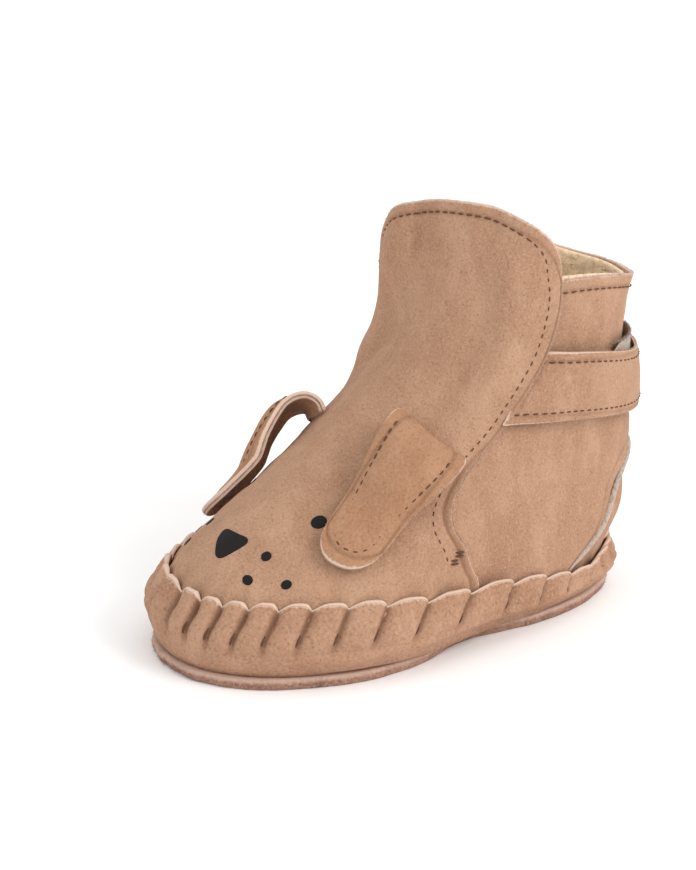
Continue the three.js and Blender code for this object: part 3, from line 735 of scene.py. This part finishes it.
def makePanel():
    t = crowded(150, 0.97)
    s = np.linspace(0, 1, 210)[:, None]
    a, h = panelSpot(t[None] + 0 * s, s + 0 * t[None])
    top = onLast(a, h, panelTop(a, h))
    edge = edgeDistance(top, "left right top")
    normal = outward(a, h)
    groove = seamDip(edge, panel["seamIn"], 0.55)
    outer = onPanel(a, h, -0.3 * groove)
    inner = outer - normal * (sheets["leather"] - 0.1)
    # painted shade: a darker strip between the lower rim of the tongue and its seam, where the margin curls,
    # and in the seam's groove
    painted_shade = 0.4 * ease(edge, 3.6, 2.8) * ease(h, 0.5, 0.42) * ease(edge, 0.6, 1.4) + 0.35 * groove
    piece = closedSheet("vamp_and_tongue", outer, inner, nubuck, edge, 0.8, 4, {"painted_shade": painted_shade})
    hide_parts("vamp", "tongue_flap")
    made = [(piece, "nubuck_tan")]
    # the seam runs up the outer side from the tack, over the crown and down the inner side
    inset = panel["seamIn"]
    side = inset / panel["radius"]
    up = np.linspace(levelOf(26.6), levelOf(panel["shoulder"] - 2), 90)
    over = np.linspace(1, -1, 120)
    crownA, crownH = panelSpot(over * (1 - 0.001), 1 + 0 * over, inset)
    keep = np.abs(over) < 0.96
    lineA = np.concatenate([outerEdge(up) - side, crownA[keep], (innerEdge(up) + side)[::-1]])
    lineH = np.concatenate([up, crownH[keep], up[::-1]])
    line = onPanel(lineA, lineH, -0.12)
    seam = stitchRow("tongue_stitches", line, outward(lineA, lineH), thread, seed=60)
    # the tack: small loops of thread side by side across the end of the seam
    parts = []
    for i in range(4):
        spotA = 1.44 + np.linspace(-0.035, 0.035, 9) + 0.008 * (i % 2)
        spotH = levelOf(28.6 - 0.85 * i + np.linspace(0.3, -0.3, 9))
        place = onPanel(np.minimum(spotA, outerEdge(spotH)), spotH, 0.15)
        parts.append(stitchRow("tack", place, outward(spotA, spotH), thread, 9, 2.6, 0.3, 0.35, 70 + i))
    made += [(seam, "suede_tan"), (joinPieces("side_tack", parts), "suede_tan")]
    # fur on the cut edge
    over = np.linspace(0.97, -0.97, 120)
    crownA, crownH = panelSpot(over, 1 + 0 * over)
    rimA = np.concatenate([outerEdge(up), crownA, innerEdge(up)[::-1]])
    rimH = np.concatenate([up, crownH, up[::-1]])
    rimLine = onLast(rimA, rimH, panelTop(rimA, rimH) - 0.4)
    inLine = onLast(rimA * 0.93, np.minimum(rimH, 1.3) - 0.02, panelTop(rimA, rimH) - 0.4)
    roots, away, normals = scatterAlong(3400, 61, rimLine, rimLine - inLine, outward(rimA, rimH))
    fur = fibres("tongue_fur", roots, unit(away) + 0.5 * normals, fuzz, 0.75, 0.045, 0.55, 62)
    made.append((fur, "nubuck_tan"))
    return made


# The collar dips towards the heel.
def collarLevel(a):
    around = np.where(np.asarray(a) > pi, 2 * pi - a, np.abs(a))
    return 1 - panel["collarDip"] / shaft * ease(around, 1.5, 2.9)


def fleeceSheet(name, a, h, out, seed, nodes):
    middle = onLast(a, h, out)
    normal = outward(a, h)
    pile = 0.45 * swell(middle, 3.2, seed, 26) + 0.3 * swell(middle, 1.7, seed + 1, 26)
    half = sheets["fleece"] / 2
    inner = middle - normal * (half * 0.85 + 0.45 * (pile * 0.5 + 0.5))[..., None]
    outer = middle + normal * half * 0.8
    piece = closedSheet(name, outer, inner, fleece, None, 1.0, 5)
    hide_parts(*nodes)
    return piece


def makeLinings():
    s = np.linspace(0, 1, 120)[:, None]
    t = np.linspace(-1, 1, 90)[None]
    a, h = panelSpot(t + 0 * s, s + 0 * t, 2.0)
    tight = (outerEdge(h) - sheets["overlap"] - 0.04, innerEdge(h) + sheets["overlap"] + 0.04)
    clipped = np.clip(a, tight[1], tight[0])
    a = lerp(clipped, a, ease(h, fold - 0.04, fold + 0.04))
    over = overQuarter(a, h) * rise["tongue"] * ease(h, fold - 0.06, fold + 0.1)
    out = over - sheets["liningPlay"] - sheets["fleece"] / 2
    front = fleeceSheet("tongue_and_vamp_fleece", a, h, out, 80, ["vamp_lining", "tongue_lining"])
    s = np.linspace(0, 1, 110)[:, None]
    t = np.linspace(0, 1, 240)[None]
    outerEnd, innerEnd = panel["collarEnds"]
    start, end = outerEnd - sheets["overlap"], 2 * pi - innerEnd + sheets["overlap"]
    full = start + (end - start) * t
    h = s * (collarLevel(full) - 0.3 / shaft) + 0 * t
    a = lerp(outerEdge(h) - sheets["overlap"] + 0.02, 2 * pi + innerEdge(h) + sheets["overlap"] - 0.02, t)
    out = -sheets["liningPlay"] - sheets["fleece"] / 2
    back = fleeceSheet("quarter_fleece", a, h, out, 84, ["quarter_lining"])
    # loose pile stands up at the collar and along the tongue's rim
    random = np.random.default_rng(86)
    count = 5200
    angle = random.uniform(1.25, 2 * pi - 1.0, count)
    level = collarLevel(angle) - 0.4 / shaft - np.abs(random.normal(0, 0.035, count))
    roots = onLast(angle, level, -sheets["liningPlay"] - sheets["fleece"] * random.uniform(0.2, 1, count))
    ways = -outward(angle, level) * 0.8 + np.array([0, 0, 1]) * (level > collarLevel(angle) - 0.02)[:, None]
    tufts = fibres("collar_pile", roots, ways, fleece, 1.6, 0.09, 0.7, 87)
    return [(front, "fleece_cream"), (back, "fleece_cream"), (tufts, "fleece_cream")]


archHeight = curve([(2.04, 0), (2.13, 0.061), (2.24, 0.134), (2.38, 0.232), (2.52, 0.293), (2.78, 0.337),
                    (pi, 0.354)])
quarter = {"patchTop": levelOf(44), "patchFront": 1.96, "seamIn": 3.0}


def quarterTop(a, h):
    under = ease(np.abs(a), quarter["patchFront"] - 0.36, quarter["patchFront"] - 0.08)
    lift = (sheets["leather"] + sheets["seamPlay"]) * under
    return sheets["leather"] + lift * (1 - ease(h, quarter["patchTop"] + 0.02, quarter["patchTop"] + 0.09))


# A tube along a line: rings of the given radius, tapered at the ends, with small tufts on them.
def softRoll(name, line, normals, radius, material):
    forward = unit(np.gradient(line, axis=0))
    side = unit(np.cross(forward, normals))
    turns = np.linspace(0, 2 * pi, 14, endpoint=False)
    ring = side[:, None] * np.cos(turns)[:, None] + unit(normals)[:, None] * np.sin(turns)[:, None]
    size = radius * np.clip(1.02 - np.abs(np.linspace(-1, 1, len(line))) ** 12, 0.02, 1)
    points = line[:, None] + ring * size[:, None, None]
    points = points + ring * (0.14 * swell(points, 1.6, 95, 24))[..., None] * size[:, None, None]
    grid = np.concatenate([line[:1, None] + 0 * ring[:1], points, line[-1:, None] + 0 * ring[:1]])
    return makePiece(name, grid.reshape(-1, 3), gridFaces(len(grid), 14, around=True), material, weld=1e-3)


def makeQuarters():
    made = []
    for side, name in ((1, "outer"), (-1, "inner")):
        front = (lambda h: outerEdge(h) - sheets["overlap"]) if side > 0 else (
            lambda h: -innerEdge(h) - sheets["overlap"])
        t = np.linspace(0, 1, 130)[None]
        s = np.linspace(0, 1, 150)[:, None]
        h = lerp(archHeight(lerp(1.3, pi, t)), collarLevel(lerp(front(1.0), pi, t)), s)
        around = lerp(front(h), pi - sheets["gap"] / 60, t)
        a = side * around
        top = onLast(a, h, quarterTop(a, h))
        normal = outward(a, h)
        edge = edgeDistance(top, "top bottom")
        groove = seamDip(edge, quarter["seamIn"], 0.55)
        backSeam = np.exp(-((pi - around) / 0.03) ** 2)
        loose = 0.22 * swell(top, 20, 90 + side) + 0.08 * swell(top, 6, 92 + side)
        loose += 0.03 * swell(top, 2.5, 94, 20)
        covered = ease(np.abs(around - front(h)), 0.35, 0.15)
        lift = loose * (1 - covered) - 0.3 * groove - 0.35 * backSeam - 0.12
        outer = top + normal * lift[..., None]
        inner = outer - normal * (sheets["leather"] - 0.15)
        # painted shade in the seam grooves and along the back seam
        painted_shade = 0.3 * groove + 0.3 * backSeam
        piece = closedSheet(name + "_quarter_leather", outer, inner, nubuck, edge, 0.8, 4, {"painted_shade": painted_shade})
        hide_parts(name + "_quarter")
        made.append((piece, "nubuck_tan"))
        # a seam runs below the collar
        visible = outerEdge(0.95) + 0.05 if side > 0 else -innerEdge(0.95) + 0.05
        sweep = np.linspace(visible, pi - 0.03, 110)
        level = collarLevel(sweep) - quarter["seamIn"] / shaft
        normals = outward(side * sweep, level)
        line = onLast(side * sweep, level, quarterTop(sweep, level)) - 0.05 * normals
        seam = stitchRow(name + "_quarter_stitches", line, normals, thread, seed=100)
        made.append((seam, "suede_tan"))
        # a soft raw roll covers the arched rear edge
        arc = np.linspace(2.1, pi - 0.03, 220)
        arch = archHeight(arc)
        spot = onLast(side * arc, arch, quarterTop(arc, arch) - 0.1)
        roll = softRoll(name + "_arch_roll", spot, outward(side * arc, arch), 0.85, rollPile)
        made.append((roll, "nubuck_tan"))
        # fur along both cut edges
        top = onLast(side * sweep, collarLevel(sweep), 0.7)
        low = onLast(side * arc, arch, quarterTop(arc, arch) - 0.4)
        for label, line, way, around, level, count, pile in (
                ("collar", top, np.array([0, 0, 1.0]), sweep, collarLevel(sweep), 1500, fuzz),
                ("arch", low, np.array([0, 0, -1.0]), arc, arch, 1600, rollPile)):
            roots, normals = scatterAlong(count, 110 + count, line, outward(side * around, level))
            fur = fibres(name + "_" + label + "_fur", roots, way + 0.6 * normals, pile, 0.8, 0.045, 0.6, 112)
            made.append((fur, "nubuck_tan"))
    t = np.linspace(-1, 1, 120)[None]
    s = np.linspace(0, 1, 70)[:, None]
    a = pi + t * (pi - quarter["patchFront"]) + 0 * s
    h = quarter["patchTop"] * s + 0 * t
    top = onLast(a, h, 1.05 + 0.12 * swell(onLast(a, h), 14, 120))
    inner = top - outward(a, h) * 0.95
    patch = closedSheet("heel_patch_leather", top, inner, suede, None, 0.6, 3)
    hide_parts("heel_patch")
    made.append((patch, "nubuck_tan"))
    return made


strap = {"width": 17, "height": 66, "outerDrop": 7, "innerDrop": 3, "standOff": 4.2, "outerEnd": 3.6,
         "innerEnd": 2.95, "loopEnd": 2.0, "hookLength": 34, "margin": 1.5, "round": 7, "tape": 0.5,
         "tapePlay": 0.15, "seamIn": 2.2, "play": 2.3, "tuckIn": 1.4, "rootOff": 2.0, "layerGap": 0.12}
strapRadius = onLast(pi / 2, levelOf(strap["height"]), strap["standOff"])[0]


# Spots on a strap: t from -1 at its lower edge to 1 at its upper edge, s from its root to its end.
def strapSpot(t, s, start, end, width, drop, rounding):
    cut = rounding * (1 - roundEnd(t, 2.2)) / strapRadius
    # the outer strap's root follows the slanted edge of the tongue
    level = levelOf(strap["height"] + width / 2 * t)
    tuck = outerEdge(level) - outerEdge(levelOf(strap["height"])) + 0.03 * (1 - ease(level, 0.58, 0.66))
    begin = start + tuck * (end > start)
    a = lerp(begin, end - np.sign(end - start) * cut, s)
    line = strap["height"] - drop * ease(np.where(a > pi, 2 * pi - a, a), 1.35, 2.7)
    return a, levelOf(line + width / 2 * t)


def makeStrap(name, node, start, end, width, drop, standOff, thickness, rounding, material, slot, look):
    t = crowded(look["across"], 0.9)[:, None]
    s = np.linspace(0, 1, look["along"])[None]
    s = np.sin(s * pi / 2) * 0.5 + s * 0.5
    a, h = strapSpot(t + 0 * s, s + 0 * t, start, end, width, drop, rounding)
    top = onLast(a, h, standOff(a) + thickness)
    normal = outward(a, h)
    edge = edgeDistance(top, "left right top bottom" if rounding else "top bottom")
    groove = seamDip(edge, strap["seamIn"], 0.5) * look.get("groove", 0)
    size = look["bumpSize"]
    bumps = look["bumps"] * (swell(top, size, 130) + 0.5 * swell(top, size / 2.5, 131, 20))
    crown = look.get("crown", 0) * (1 - np.abs(t) ** 3)
    outer = top + normal * (bumps + crown - groove - look["bumps"])[..., None]
    inner = onLast(a, h, standOff(a)) + normal * (0.05 + crown)[..., None]
    # painted shade in the seam grooves along the strap
    piece = closedSheet(name, outer, inner, material, edge, 0.9, 4, {"painted_shade": groove * 0.8})
    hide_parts(node)
    return piece, slot


def makeStraps():
    gap, tape = strap["layerGap"], strap["tape"]
    narrow = strap["width"] - 2 * strap["margin"]
    level = levelOf(strap["height"])
    outerRoot = float(outerEdge(level)) - strap["tuckIn"] / strapRadius
    innerRoot = 2 * pi + float(innerEdge(level)) - strap["play"] / strapRadius
    hookStart = strap["outerEnd"] - strap["hookLength"] / strapRadius
    leatherLook = {"across": 40, "along": 190, "bumps": 0.07, "bumpSize": 9, "groove": 0.3, "crown": 0.25}
    tapeLook = {"across": 44, "along": 150, "bumps": 0.12, "bumpSize": 1.3}

    def outerOff(a):
        return lerp(strap["rootOff"], strap["standOff"], ease(a, outerRoot, outerRoot + 0.35))

    def tapeOff(a):
        return outerOff(a) - gap - tape

    def loopOff(a):
        return strap["standOff"] - 2 * (gap + tape) - strap["tapePlay"] + 0 * a

    def innerOff(a):
        return loopOff(a) - gap - 0.8

    width, dip, round = strap["width"], strap["outerDrop"], strap["round"]
    outerEnd, innerDip = strap["outerEnd"], strap["innerDrop"]
    made = {
        "outer_strap": [
            makeStrap("outer_strap_leather", "outer_strap", outerRoot, outerEnd, width, dip, outerOff, 1.1,
                      round, nubuck, "nubuck_tan", leatherLook),
            makeStrap("outer_strap_backing", "outer_strap_lining", outerRoot + 0.05, hookStart - 0.02, narrow,
                      dip, tapeOff, tape, 0, backing, "strap_backing", dict(tapeLook, bumps=0.05)),
            makeStrap("hook_tape_pile", "hook_tape", hookStart, outerEnd - 0.06, narrow, dip, tapeOff, tape,
                      round, hookPile, "hook_tape", tapeLook)],
        "inner_strap": [
            makeStrap("inner_strap_leather", "inner_strap", innerRoot, strap["innerEnd"], width, innerDip,
                      innerOff, 0.8, round, nubuck, "nubuck_tan", leatherLook)],
        "loop_tape": [
            makeStrap("loop_tape_pile", "loop_tape", outerEnd + 0.15, strap["loopEnd"], width, innerDip,
                      loopOff, tape, round, loopPile, "loop_tape", tapeLook)],
    }
    # two seams along each strap
    for body, root, end, drop, standOff, thick in (
            ("outer_strap", outerRoot, strap["outerEnd"], dip, outerOff, 1.1),
            ("inner_strap", innerRoot, strap["innerEnd"], strap["innerDrop"], innerOff, 0.8)):
        parts = []
        for row in (-1, 1):
            t = row * (1 - 2 * strap["seamIn"] / width)
            along = np.linspace(0.01, 0.985, 160)
            a, h = strapSpot(0.999 * t + 0 * along, along, root, end, width, drop, 5)
            line = onLast(a, h, standOff(a) + thick + 0.05)
            parts.append(stitchRow("run", line, outward(a, h), thread, seed=140 + row))
        made[body].append((joinPieces(body + "_stitches", parts), "suede_tan"))
        along = np.tile(np.linspace(0, 0.97, 120), 2)
        edgeA, edgeH = strapSpot(np.repeat([-1.0, 1.0], 120), along, root, end, width, drop, 0)
        lowLine, highLine = (onLast(edgeA[part], edgeH[part], standOff(edgeA[part]) + thick / 2)
                             for part in (slice(0, 120), slice(120, 240)))
        for label, line, way in (("lower", lowLine, -1.0), ("upper", highLine, 1.0)):
            roots, = scatterAlong(900, 150, line)
            ways = np.tile([0, 0, way], (900, 1))
            fur = fibres(f"{body}_{label}_fur", roots, ways, fuzz, 0.6, 0.045, 0.5, 151)
            made[body].append((fur, "nubuck_tan"))
    # loops stand up along the loop tape's edges
    a, h = strapSpot(np.tile([-1.0, 1.0], 1300), np.random.default_rng(152).uniform(0, 1, 2600),
                     strap["outerEnd"] + 0.15, strap["loopEnd"], width, strap["innerDrop"], 0)
    roots = onLast(a, h, loopOff(a) + tape / 2)
    ways = np.stack([0 * a, 0 * a, np.tile([-1.0, 1.0], 1300)], -1)
    fur = fibres("loop_tape_fur", roots, ways, loopPile, 0.9, 0.05, 0.7, 153)
    made["loop_tape"].append((fur, "loop_tape"))
    return made


ear = {"length": 38, "root": 24.7, "tip": 13.8, "arch": 7.5, "angle": 0.815, "height": 53.6, "lean": 0.565,
       "turn": 0.04, "innerHeight": 48.8, "layer": 0.9, "seamIn": 3.0}
reachAt = curve([(0, 0), (0.07, -0.025), (0.15, 0.011), (0.25, 0.118), (0.36, 0.243), (0.51, 0.415),
                 (0.61, 0.52), (0.69, 0.6), (0.84, 0.8), (1, 1)])
liftAt = curve([(0, 0.11), (0.07, 0.42), (0.15, 0.79), (0.25, 1), (0.36, 0.93), (0.51, 0.69), (0.61, 0.45),
                (0.69, 0.29), (0.84, 0.19), (1, 0.17)])


# A spot on an ear: its middle line rises from the root, arches over and lies down towards the toe.
# off moves the spot along the normal of that line.
def earSpot(side, t, s, off):
    step = 0.01
    round = lerp(0.8, 1, roundEnd(t, 2.4))
    rising = (liftAt(s + step) - liftAt(s - step)) * ear["arch"]
    reaching = (reachAt(s + step) - reachAt(s - step)) * ear["length"] * round
    size = np.hypot(rising, reaching)
    reach = reachAt(s) * ear["length"] * round - off * rising / size
    lift = liftAt(s) * ear["arch"] + off * reaching / size
    half = lerp(ear["root"], ear["tip"], np.clip(reach / ear["length"], 0, 1)) / 2
    right = t * half * np.cos(ear["lean"]) + reach * np.sin(ear["turn"])
    up = -t * half * np.sin(ear["lean"]) - reach * np.cos(ear["turn"])
    height = ear["height"] if side > 0 else ear["innerHeight"]
    a, h = beside(ear["angle"], levelOf(height), right, up)
    a = side * a
    top = sheets["leather"] + rise["vamp"] * overQuarter(a, h) + sheets["gap"]
    return onLast(a, h, top) + outward(a, h) * lift[..., None]


def makeEar(side, name):
    t = crowded(56, 0.94)[None]
    s = np.linspace(0, 1, 110)[:, None]
    t, s = t + 0 * s, s + 0 * t
    made = []
    thick = ear["layer"]
    middle = earSpot(side, t, s, thick)
    edge = edgeDistance(middle, "left right top")
    groove = seamDip(edge, ear["seamIn"], 0.6)
    soft = 0.25 * swell(middle, 11, 160 + side) * ease(edge, 0, 5) + 0.03 * swell(middle, 2.2, 162, 20)
    pillow = 0.45 * ease(edge, ear["seamIn"], 7) * ease(s, 0.0, 0.2)
    topHigh = 2 * thick + 0.2 + soft + pillow - 0.3 * groove
    topLow = thick + 0.12 + soft * 0.8
    lowHigh = thick - 0.02 + soft * 0.8 - 0.036 * ease(edge, 2.4, 0.6)
    lowLow = 0.1 + soft * 0.8 + 0.15 * groove
    for label, node, high, low in (("ear_leather", "ear", topHigh, topLow),
                                   ("ear_back_leather", "ear_lining", lowHigh, lowLow)):
        outer = earSpot(side, t, s, high)
        inner = earSpot(side, t, s, low)
        # painted shade: in the seam's groove on the top leather, and all over the back leather, which lies in
        # shade under the arch
        painted_shade = 0.35 * groove if node == "ear" else 0.25 + 0 * groove
        piece = closedSheet(f"{name}_{label}", outer, inner, earSuede, edge, 0.7, 4, {"painted_shade": painted_shade})
        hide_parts(f"{name}_{node}")
        made.append((piece, "nubuck_tan"))
    # one seam: down one side, round the tip and up the other side
    down = np.linspace(0.2, 0.79, 70)
    sweep = np.linspace(-1, 1, 60)
    inT = 1 - ear["seamIn"] * 2 / lerp(ear["root"], ear["tip"], reachAt(down))
    tipT = np.sign(sweep) * np.abs(np.sin(sweep * pi / 2)) ** 0.8 * inT[-1]
    tipS = 0.8 + 0.11 * np.cos(sweep * pi / 2) ** 0.6
    lineT = np.concatenate([-inT, tipT, inT[::-1]])
    lineS = np.concatenate([down, tipS, down[::-1]])
    line = earSpot(side, lineT, lineS, 2 * thick + 0.25)
    above = earSpot(side, lineT, lineS, 2 * thick + 1.25)
    made.append((stitchRow(f"{name}_ear_stitches", line, unit(above - line), thread, seed=170),
                 "suede_tan"))
    rimT = np.concatenate([-np.ones(60), np.linspace(-1, 1, 60), np.ones(60)])
    rimS = np.concatenate([np.linspace(0.06, 1, 60), np.ones(60), np.linspace(1, 0.06, 60)])
    rim = earSpot(side, rimT, rimS, thick)
    inward = earSpot(side, rimT * 0.9, rimS * 0.97, thick)
    roots, away = scatterAlong(2200, 171, rim, rim - inward)
    made.append((fibres(f"{name}_ear_fur", roots, unit(away), fuzz, 0.6, 0.045, 0.6, 172), "nubuck_tan"))
    return made


# Each size is half the width, half the height and the slant to one side.
face = {"nose": (5.15, 4.66, -0.6), "noseAngle": 0.08, "noseHeight": 31.3,
        "eye": (1.9, 2.21, -0.99), "eyeAngle": 0.57, "eyeHeight": 37.5,
        "whisker": (1.3, 1.42, -0.5), "whiskers": [(0.43, 30.5), (0.42, 25.8), (0.66, 25.6)]}


# A thin print: rings round its middle, pressed on the vamp, with the rim rounded down to the leather.
def printOn(name, node, angle, z, radius, shape=lambda turn: 1 + 0 * turn, seed=1):
    turns = np.linspace(0, 2 * pi, 72, endpoint=False)[None]
    shares = np.concatenate([np.linspace(0, 0.94, 9), [0.98, 1.0, 0.99, 0.9, 0.5, 0]])[:, None]
    lifts = np.concatenate([np.full(9, 0.16), [0.12, 0.02, -0.12, -0.15, -0.15, -0.15]])[:, None]
    circle = np.concatenate([np.cos(turns), np.sin(turns), 0 * turns]).T
    wobble = 1 + 0.02 * swell(circle * 3, 2.0, seed)[None]
    size = shape(turns) * wobble * shares
    wide, tall, slant = radius
    right = wide * np.sin(turns) + np.sign(angle) * slant * np.cos(turns)
    a, h = beside(angle, levelOf(z), size * right, size * tall * np.cos(turns))
    spots = onPanel(a, h, 0.05 + lifts)
    faces = gridFaces(len(shares), 72, around=True)
    piece = makePiece(name, spots.reshape(-1, 3), faces, film, weld=1e-3)
    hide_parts(node)
    return piece, "print_black"


def makeFace():
    # a soft triangle, flat side up: the reach where a power mean of its three sides' distances is one
    def triangle(turn):
        sides = [np.maximum(np.cos(turn - 2 * pi * i / 3) / wide, 0)
                 for i, wide in enumerate((0.68, 0.76, 0.76))]
        return 1 / sum(side ** 2.2 for side in sides) ** (1 / 2.2)
    made = [printOn("nose_film", "nose_print", face["noseAngle"], face["noseHeight"], face["nose"], triangle,
                    180)]
    for side, name in ((1, "outer"), (-1, "inner")):
        made.append(printOn(f"{name}_eye_film", f"{name}_eye_print", side * face["eyeAngle"],
                            face["eyeHeight"], face["eye"], seed=181 + side))
        for i, (angle, z) in enumerate(face["whiskers"], 1):
            made.append(printOn(f"{name}_whisker_film_{i}", f"{name}_whisker_print_{i}", side * angle, z,
                                face["whisker"], seed=190 + i))
    return made


def settle(made, body):
    for piece, slot in made:
        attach(piece, body)


# Leather that crosses the tongue's fold is left on no body: its transform is baked into its mesh.
def bendAtFold(piece, slot):
    line = onLast(0.0, levelOf(np.array([51.0, 70.0])), 0.0)
    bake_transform(piece)


settle(makeOutsole() + makeInsole(), "shoe")
print("sole made")
settle(makeWrap(), "shoe")
print("wrap made")
for piece, slot in makePanel():
    if piece.name == "side_tack":
        settle([(piece, slot)], "shoe")
    else:
        bendAtFold(piece, slot)
print("vamp and tongue made")
linings = makeLinings()
bendAtFold(*linings[0])
settle(linings[1:], "shoe")
settle(makeQuarters(), "shoe")
print("quarters made")
# The outer strap is sewn under the tongue's edge. Pieces named outer_strap are left on no body, with their
# transforms baked into their meshes; the rest go on their bodies.
level = levelOf(strap["height"])
root = float(outerEdge(level))
bendStart, bendEnd = (onLast(root + step / strapRadius, level, 3.0) * metre for step in (-1.0, 6.0))
for body, made in makeStraps().items():
    for piece, slot in made:
        if piece.name.startswith(("outer_strap")):
            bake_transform(piece)
        else:
            settle([(piece, slot)], body)
print("straps made")
for side, name in ((1, "outer"), (-1, "inner")):
    settle(makeEar(side, name), f"{name}_ear")
settle(makeFace(), "shoe")
print("ears and face made")


def makeStage():
    mesh = bpy.data.meshes.new("floor")
    mesh.from_pydata([(-4, -4, 0), (4, -4, 0), (4, 4, 0), (-4, 4, 0)], [], [(0, 1, 2, 3)])
    paper = Shader("paper")
    mesh.materials.append(paper.finish(colour(255, 255, 255), 0.9, None, 0.0, (1, 1, 1, 1), 0.1))
    floor = bpy.data.objects.new("floor", mesh)
    scene.collection.objects.link(floor)


def addLamp(name, place, size, power, target=(0, 0, 0.05)):
    lamp = bpy.data.lights.new(name, "AREA")
    lamp.size = size
    lamp.energy = power
    holder = bpy.data.objects.new(name, lamp)
    holder.location = place
    holder.rotation_euler = (Vector(target) - Vector(place)).to_track_quat("-Z", "Y").to_euler()
    scene.collection.objects.link(holder)


makeStage()
addLamp("key", (1.25, 0.55, 0.95), 0.8, 13)
addLamp("fill", (0.1, -1.3, 0.9), 1.2, 1.6)
world = bpy.data.worlds.new("studio")
world.use_nodes = True
world.node_tree.nodes["Background"].inputs["Color"].default_value = (1, 1, 1, 1)
world.node_tree.nodes["Background"].inputs["Strength"].default_value = 1.0
scene.world = world
scene.view_settings.view_transform = "Standard"


# The camera looks down on the bootie from its outer front.
def makeCamera():
    view = {"azimuth": 58, "elevation": 19, "distance": 640, "aim": (0, 0, 50), "aside": 10.897,
            "above": 0.513, "lens": 103.283, "sensor": 36}
    turn, tilt = np.radians(view["azimuth"]), np.radians(view["elevation"])
    back = np.array([np.sin(turn) * np.cos(tilt), -np.cos(turn) * np.cos(tilt), np.sin(tilt)])
    right = np.array([np.cos(turn), np.sin(turn), 0])
    up = np.cross(back, right)
    place = view["aim"] + back * view["distance"] - right * view["aside"] - up * view["above"]
    lens = bpy.data.cameras.new("camera")
    lens.sensor_fit = "VERTICAL"
    lens.sensor_height = view["sensor"]
    lens.lens = view["lens"]
    lens.clip_start = 0.01
    camera = bpy.data.objects.new("camera", lens)
    facing = Matrix(np.column_stack([right, up, back]).tolist())
    camera.matrix_world = Matrix.Translation(Vector(place * metre)) @ facing.to_4x4()
    scene.collection.objects.link(camera)
    scene.camera = camera


makeCamera()
print("stage, light and camera made")
